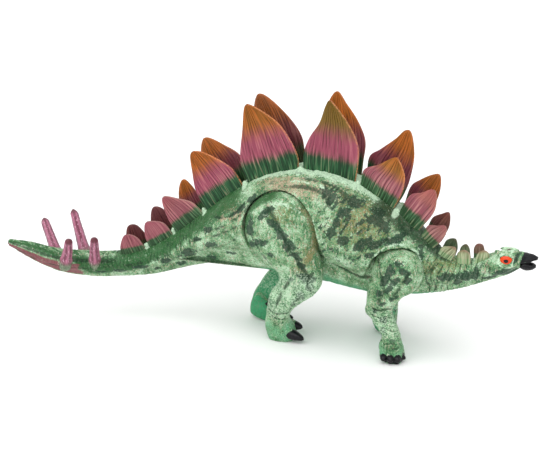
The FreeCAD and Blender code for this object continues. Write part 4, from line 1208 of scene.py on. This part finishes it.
class Paint:
    """A node material in the making. Sockets, colours and numbers can be given as inputs."""

    def __init__(self, name, roughness, specular=0.5):
        self.material = bpy.data.materials.new(name)
        self.material.use_nodes = True
        self.tree = self.material.node_tree
        self.shader = self.tree.nodes["Principled BSDF"]
        self.shader.inputs["Roughness"].default_value = roughness
        self.shader.inputs["Specular IOR Level"].default_value = specular
        self.place = self.tree.nodes.new("ShaderNodeTexCoord").outputs["Object"]

    def node(self, kind, inputs=(), **settings):
        """A new node with its inputs and settings."""
        made = self.tree.nodes.new(kind)
        for name, value in settings.items():
            setattr(made, name, value)
        for key, value in dict(inputs).items():
            if isinstance(value, bpy.types.NodeSocket):
                self.tree.links.new(value, made.inputs[key])
            else:
                made.inputs[key].default_value = value
        return made

    def mask(self, name):
        """A value stored on the points of the mesh."""
        return self.node("ShaderNodeAttribute", attribute_name=name).outputs["Fac"]

    def noise(self, size, detail, stretch=(1, 1, 1)):
        """Noise from 0 to 1 with lumps of about size millimetres."""
        stretched = self.node("ShaderNodeMapping", {"Vector": self.place, "Scale": stretch})
        made = self.node("ShaderNodeTexNoise", {
            "Vector": stretched.outputs["Vector"], "Scale": 1 / (size * MM), "Detail": detail,
            "Roughness": 0.6})
        return made.outputs["Fac"]

    def cells(self, size):
        """Distance to the nearest pebble edge, in a pattern of about size millimetres."""
        made = self.node("ShaderNodeTexVoronoi", {"Vector": self.place, "Scale": 1 / (size * MM)},
                         feature="DISTANCE_TO_EDGE")
        return made.outputs["Distance"]

    def calc(self, operation, first, second):
        return self.node("ShaderNodeMath", {0: first, 1: second}, operation=operation).outputs[0]

    def times(self, first, second):
        return self.calc("MULTIPLY", first, second)

    def plus(self, first, second):
        return self.calc("ADD", first, second)

    def less(self, first, second):
        return self.calc("SUBTRACT", first, second)

    def between(self, value, low, high):
        """0 at low and 1 at high, with a smooth turn."""
        made = self.node("ShaderNodeMapRange", {"Value": value, "From Min": low, "From Max": high},
                         interpolation_type="SMOOTHSTEP")
        return made.outputs["Result"]

    def mix(self, share, first, second):
        """The first colour where share is 0 and the second where it is 1."""
        made = self.node("ShaderNodeMix", {"Factor": share}, data_type="RGBA")
        for socket, value in ((made.inputs[6], first), (made.inputs[7], second)):
            if isinstance(value, bpy.types.NodeSocket):
                self.tree.links.new(value, socket)
            else:
                socket.default_value = value
        return made.outputs[2]

    def fade(self, value, low, high, first, second):
        """The first colour where value is at low, turning to the second at high."""
        return self.mix(self.between(value, low, high), first, second)

    def finish(self, shade, bump=None, strength=0.4, depth=0.15, roughness=None):
        """Joins the colour, the bumps and the roughness to the shader."""
        self.tree.links.new(shade, self.shader.inputs["Base Color"])
        if roughness is not None:
            self.tree.links.new(roughness, self.shader.inputs["Roughness"])
        if bump is not None:
            made = self.node("ShaderNodeBump", {"Height": bump, "Strength": strength,
                                                "Distance": depth * MM})
            self.tree.links.new(made.outputs["Normal"], self.shader.inputs["Normal"])
        return self.material


EMERALD = colour(60, 160, 110)
DEEP_GREEN = colour(70, 118, 78)
MINT = colour(136, 186, 136)
PALE_MINT = colour(204, 234, 202)
DARK_GREEN = colour(24, 50, 30)
BLOTCH_GREEN = colour(28, 54, 42)
GRASS_GREEN = colour(34, 92, 40)
OLIVE = colour(126, 120, 52)
TAN = colour(158, 116, 70)
PINK = colour(196, 164, 140)
MAUVE = colour(142, 64, 84)
ROSE = colour(168, 88, 104)
ORANGE = colour(186, 98, 26)
OCHRE = colour(140, 78, 4)
MUSTARD = colour(104, 90, 0)
MAROON = colour(80, 32, 28)
HORN_BLACK = colour(12, 13, 18)
FOOT_GREEN = colour(18, 58, 30)
FOOT_LIGHT = colour(52, 108, 66)
SAGE = colour(110, 140, 90)
PALE_SAGE = colour(170, 196, 150)
SAGE_TIP = colour(128, 122, 84)
RIB_SHADE = colour(30, 26, 16)
DUSTY_PINK = colour(216, 168, 152)
BROWN = colour(62, 30, 24)
LIGHT_BROWN = colour(96, 60, 44)
SLATE_GREEN = colour(44, 66, 46)
RIM_ROSE = colour(158, 128, 116)
RIM_ORANGE = colour(222, 142, 96)
SPIKE_MAUVE = colour(112, 42, 68)
SPIKE_ROSE = colour(172, 100, 126)
SPIKE_PALE = colour(206, 158, 176)
SPIKE_FOOT = colour(66, 84, 58)
SPIKE_FOOT_PALE = colour(124, 142, 112)
SPIKE_TIP = colour(96, 40, 52)
HORN_DEEP = colour(10, 10, 14)
HORN_WORN = colour(40, 40, 48)
IRIS_RED = colour(214, 40, 8)
IRIS_ORANGE = colour(238, 88, 16)
PUPIL = colour(8, 6, 6)
EYE_RIM = colour(60, 20, 12)
NYLON = colour(24, 24, 26)
PALE_NYLON = colour(40, 40, 44)


def skin_material():
    """Emerald vinyl with mint overspray, blotches and dry-brushed high spots."""
    paint = Paint("skin_paint", 0.45, specular=0.22)
    grain = paint.noise(0.4, 2)
    speck = paint.noise(0.9, 3)
    broad = paint.noise(7.0, 3)
    streak = paint.noise(1.1, 3, stretch=(1, 1, 0.35))
    height = paint.mask("height")

    def varied(amount, *noises):
        """Noise around 0, made of the given parts."""
        total = None
        for noise in noises:
            part = paint.times(paint.less(noise, 0.5), amount)
            total = part if total is None else paint.plus(total, part)
        return total

    tone = varied(1.35, speck, grain, broad)
    shade = paint.fade(tone, -0.20, 0.02, DEEP_GREEN, MINT)
    shade = paint.fade(tone, 0.04, 0.20, shade, PALE_MINT)
    shade = paint.mix(paint.times(paint.between(streak, 0.54, 0.64), 0.75), shade, PALE_MINT)
    rough = varied(2.6, speck, grain)
    ragged = varied(1.7, speck, grain)

    def lay(over, name, tint, strength, scatter, softness):
        """Sprays a colour where its mask and the scatter say so."""
        edge = paint.plus(paint.mask(name), scatter)
        share = paint.between(edge, 0.5 - softness, 0.5 + softness)
        return paint.mix(paint.times(share, strength), over, tint)

    sprays = (("pink", PINK, 0.72, varied(3.4, speck, streak), 0.3),
              ("olive", OLIVE, 0.75, varied(3.0, speck, grain), 0.25),
              ("tan", TAN, 0.62, varied(4.0, speck, grain), 0.3),
              ("belly", EMERALD, 0.92, varied(1.2, speck, broad), 0.3),
              ("dorsal", GRASS_GREEN, 0.92, rough, 0.3),
              ("mauve", MAUVE, 0.9, ragged, 0.25),
              ("blotch", BLOTCH_GREEN, 0.86, ragged, 0.14),
              # shade lays DARK_GREEN as a painted shadow below the neck plates' roots, and along the tail's
              # seam line.
              ("shade", DARK_GREEN, 0.85, rough, 0.35),
              ("pale", PALE_MINT, 0.85, ragged, 0.3))
    for spray in sprays:
        shade = lay(shade, *spray)
    low = paint.plus(height, varied(0.5, speck))
    shade = paint.mix(paint.times(paint.between(low, -0.10, -0.42), 0.75), shade, DARK_GREEN)
    high = paint.times(paint.between(low, 0.08, 0.26), 0.85)
    high = paint.times(high, paint.less(1.0, paint.mask("belly")))
    shade = paint.mix(high, shade, PALE_MINT)
    pebble = paint.between(paint.cells(1.0), 0.0, 0.16)
    seams = paint.times(paint.less(1.0, pebble), 0.45)
    shade = paint.mix(seams, shade, paint.mix(0.6, shade, DARK_GREEN))
    shade = lay(shade, "beak", HORN_BLACK, 1.0, ragged, 0.1)
    bump = paint.plus(paint.times(pebble, 0.8), paint.times(speck, 0.8))
    gloss = paint.less(0.46, paint.times(paint.mask("beak"), 0.2))
    gloss = paint.plus(gloss, paint.times(speck, 0.08))
    return paint.finish(shade, bump, 0.45, 0.2, gloss)


def plate_material():
    """A dark green foot, mauve middle and orange tip, with ribs and a pale rim."""
    paint = Paint("plate_paint", 0.42, specular=0.25)
    fine = paint.noise(0.6, 3)
    broad = paint.noise(5.0, 2)
    streak = paint.mask("streak")
    inner = paint.mask("inner")
    level = paint.plus(paint.mask("level"), paint.times(streak, 0.035))
    level = paint.plus(level, paint.times(paint.less(broad, 0.5), 0.10))
    rose = paint.fade(streak, -0.5, 0.9, MAUVE, ROSE)
    # Faces turned towards the other row go darker maroon and get a fainter rim: partly their own paint and
    # partly painted shade.
    rose = paint.mix(paint.times(inner, 0.55), rose, MAROON)
    tip = paint.fade(streak, -0.6, 0.9, OCHRE, ORANGE)
    olive = paint.times(paint.mask("olive"), paint.less(1.0, inner))
    tip = paint.mix(olive, tip, MUSTARD)
    warm = paint.times(paint.between(level, 0.44, 0.76), paint.mask("orange"))
    shade = paint.mix(warm, rose, tip)
    foot = paint.fade(streak, -0.5, 0.9, FOOT_GREEN, FOOT_LIGHT)
    shade = paint.fade(level, 0.33, 0.19, shade, foot)
    paleness = paint.fade(streak, -0.7, 0.6, SAGE, PALE_SAGE)
    paleness = paint.fade(level, 0.62, 1.0, paleness, SAGE_TIP)
    shade = paint.mix(paint.times(paint.mask("pale"), 0.8), shade, paleness)
    ribs = paint.times(paint.between(paint.mask("groove"), 0.15, 0.85), 0.72)
    shade = paint.mix(ribs, shade, paint.mix(0.75, shade, RIB_SHADE))
    lift = paint.times(paint.between(streak, 0.35, 1.1), paint.between(level, 0.9, 0.4))
    lift = paint.times(lift, 0.24)
    shade = paint.mix(lift, shade, DUSTY_PINK)
    dark = paint.fade(streak, -0.6, 0.9, BROWN, LIGHT_BROWN)
    dark = paint.mix(paint.mask("pale"), dark, SLATE_GREEN)
    shade = paint.mix(paint.times(paint.mask("dark"), 0.75), shade, dark)
    edge = paint.times(paint.mask("rim"), paint.between(fine, 0.35, 0.6))
    edge = paint.times(edge, paint.less(0.7, paint.times(inner, 0.5)))
    rim_tint = paint.mix(paint.mask("orange"), RIM_ROSE, RIM_ORANGE)
    shade = paint.mix(edge, shade, rim_tint)
    bump = paint.plus(paint.times(streak, 0.6), fine)
    return paint.finish(shade, bump, 0.3, 0.15)


def spike_material():
    """Mauve horn, paler along its flutes, with a green foot and a dark tip."""
    paint = Paint("spike_paint", 0.4)
    fine = paint.noise(0.7, 3, stretch=(1, 1, 0.3))
    level = paint.plus(paint.mask("level"), paint.times(fine, 0.1))
    shade = paint.fade(paint.mask("flute"), -0.7, 0.8, SPIKE_MAUVE, SPIKE_ROSE)
    shade = paint.fade(fine, 0.54, 0.68, shade, SPIKE_PALE)
    foot = paint.fade(fine, 0.42, 0.6, SPIKE_FOOT, SPIKE_FOOT_PALE)
    shade = paint.fade(level, 0.24, 0.04, shade, foot)
    shade = paint.fade(level, 0.96, 1.06, shade, SPIKE_TIP)
    return paint.finish(shade, fine, 0.35, 0.2)


def horn_material():
    """Glossy black paint over the beak and claws, worn a little grey."""
    paint = Paint("horn_paint", 0.3, specular=0.3)
    fine = paint.noise(0.8, 4)
    shade = paint.fade(fine, 0.5, 0.8, HORN_DEEP, HORN_WORN)
    return paint.finish(shade, fine, 0.25, 0.12)


def eye_material():
    """A glossy orange-red iris round a black pupil, ringed in dark."""
    paint = Paint("eye_paint", 0.2, specular=0.35)
    fine = paint.noise(0.35, 3)
    spread = paint.plus(paint.mask("spread"), paint.times(fine, 5.0))
    shade = paint.fade(fine, 0.35, 0.7, IRIS_RED, IRIS_ORANGE)
    shade = paint.fade(spread, 26.0, 21.0, shade, PUPIL)
    shade = paint.fade(spread, 66.0, 74.0, shade, EYE_RIM)
    return paint.finish(shade)


def pivot_material():
    """Plain black nylon, faintly mottled, for the pins and retainers inside."""
    paint = Paint("pivot_plastic_paint", 0.5)
    fine = paint.noise(1.2, 3)
    shade = paint.mix(fine, NYLON, PALE_NYLON)
    return paint.finish(shade, fine, 0.2, 0.1)


def floor_material():
    """Matt white card with the faintest mottling."""
    paint = Paint("floor_card", 0.9)
    shade = paint.mix(paint.noise(40.0, 2), (0.93, 0.93, 0.93, 1.0), (0.96, 0.96, 0.96, 1.0))
    return paint.finish(shade)


# ---- stage
FLOOR_REACH = 3.0                 # metres
WORLD_STRENGTH = 0.92
TOP_LIGHT_STRENGTH = 1.6
TOP_LIGHT_SPREAD = 75.0           # degrees across, for soft shadows
TOP_LIGHT_FROM = (-0.15, -0.40, 1)


def build_stage():
    """A wide white floor under an even sky and one soft lamp from above."""
    floor_mesh = bpy.data.meshes.new("floor")
    corners = [(x * FLOOR_REACH, y * FLOOR_REACH, 0) for x, y in ((-1, -1), (1, -1), (1, 1), (-1, 1))]
    floor_mesh.from_pydata(corners, [], [(0, 1, 2, 3)])
    floor = bpy.data.objects.new("floor", floor_mesh)
    bpy.context.scene.collection.objects.link(floor)
    floor_mesh.materials.append(floor_material())

    world = bpy.data.worlds.new("studio")
    world.use_nodes = True
    world.node_tree.nodes["Background"].inputs["Color"].default_value = (1, 1, 1, 1)
    world.node_tree.nodes["Background"].inputs["Strength"].default_value = WORLD_STRENGTH
    bpy.context.scene.world = world

    lamp = bpy.data.lights.new("top_light", "SUN")
    lamp.energy = TOP_LIGHT_STRENGTH
    lamp.angle = math.radians(TOP_LIGHT_SPREAD)
    holder = bpy.data.objects.new("top_light", lamp)
    holder.rotation_euler = (-Vector(TOP_LIGHT_FROM)).to_track_quat("-Z", "Y").to_euler()
    bpy.context.scene.collection.objects.link(holder)


TARGET = Vector(to_row((0.0, 0.0, 60.0)).tolist())
CAMERA_AZIMUTH = math.radians(20.0)
CAMERA_ELEVATION = math.radians(20.0)
CAMERA_DISTANCE = 0.7
CAMERA_LENS = 85.7


def build_camera():
    """Looks at the figure's right side from ahead of it and above."""
    back = Vector((math.sin(CAMERA_AZIMUTH) * math.cos(CAMERA_ELEVATION),
                   -math.cos(CAMERA_AZIMUTH) * math.cos(CAMERA_ELEVATION),
                   math.sin(CAMERA_ELEVATION)))
    data = bpy.data.cameras.new("camera")
    data.lens = CAMERA_LENS
    camera = bpy.data.objects.new("camera", data)
    camera.location = TARGET + back * CAMERA_DISTANCE
    camera.rotation_euler = (-back).to_track_quat("-Z", "Y").to_euler()
    bpy.context.scene.collection.objects.link(camera)
    bpy.context.scene.camera = camera
    bpy.context.scene.view_settings.view_transform = "Standard"


# ---- the figure
def main():
    build_camera()
    build_stage()
    skin = skin_material()
    horn = horn_material()
    build_body(skin)
    build_legs(skin, horn)
    build_plates(plate_material())
    build_spikes(spike_material())
    build_eyes(eye_material())
    build_lower_beak(horn)
    pivot = pivot_material()
    for name, node in frame["nodes"].items():
        if "pin" in name or "retainer" in name:
            node.data.materials.clear()
            node.data.materials.append(pivot)


main()
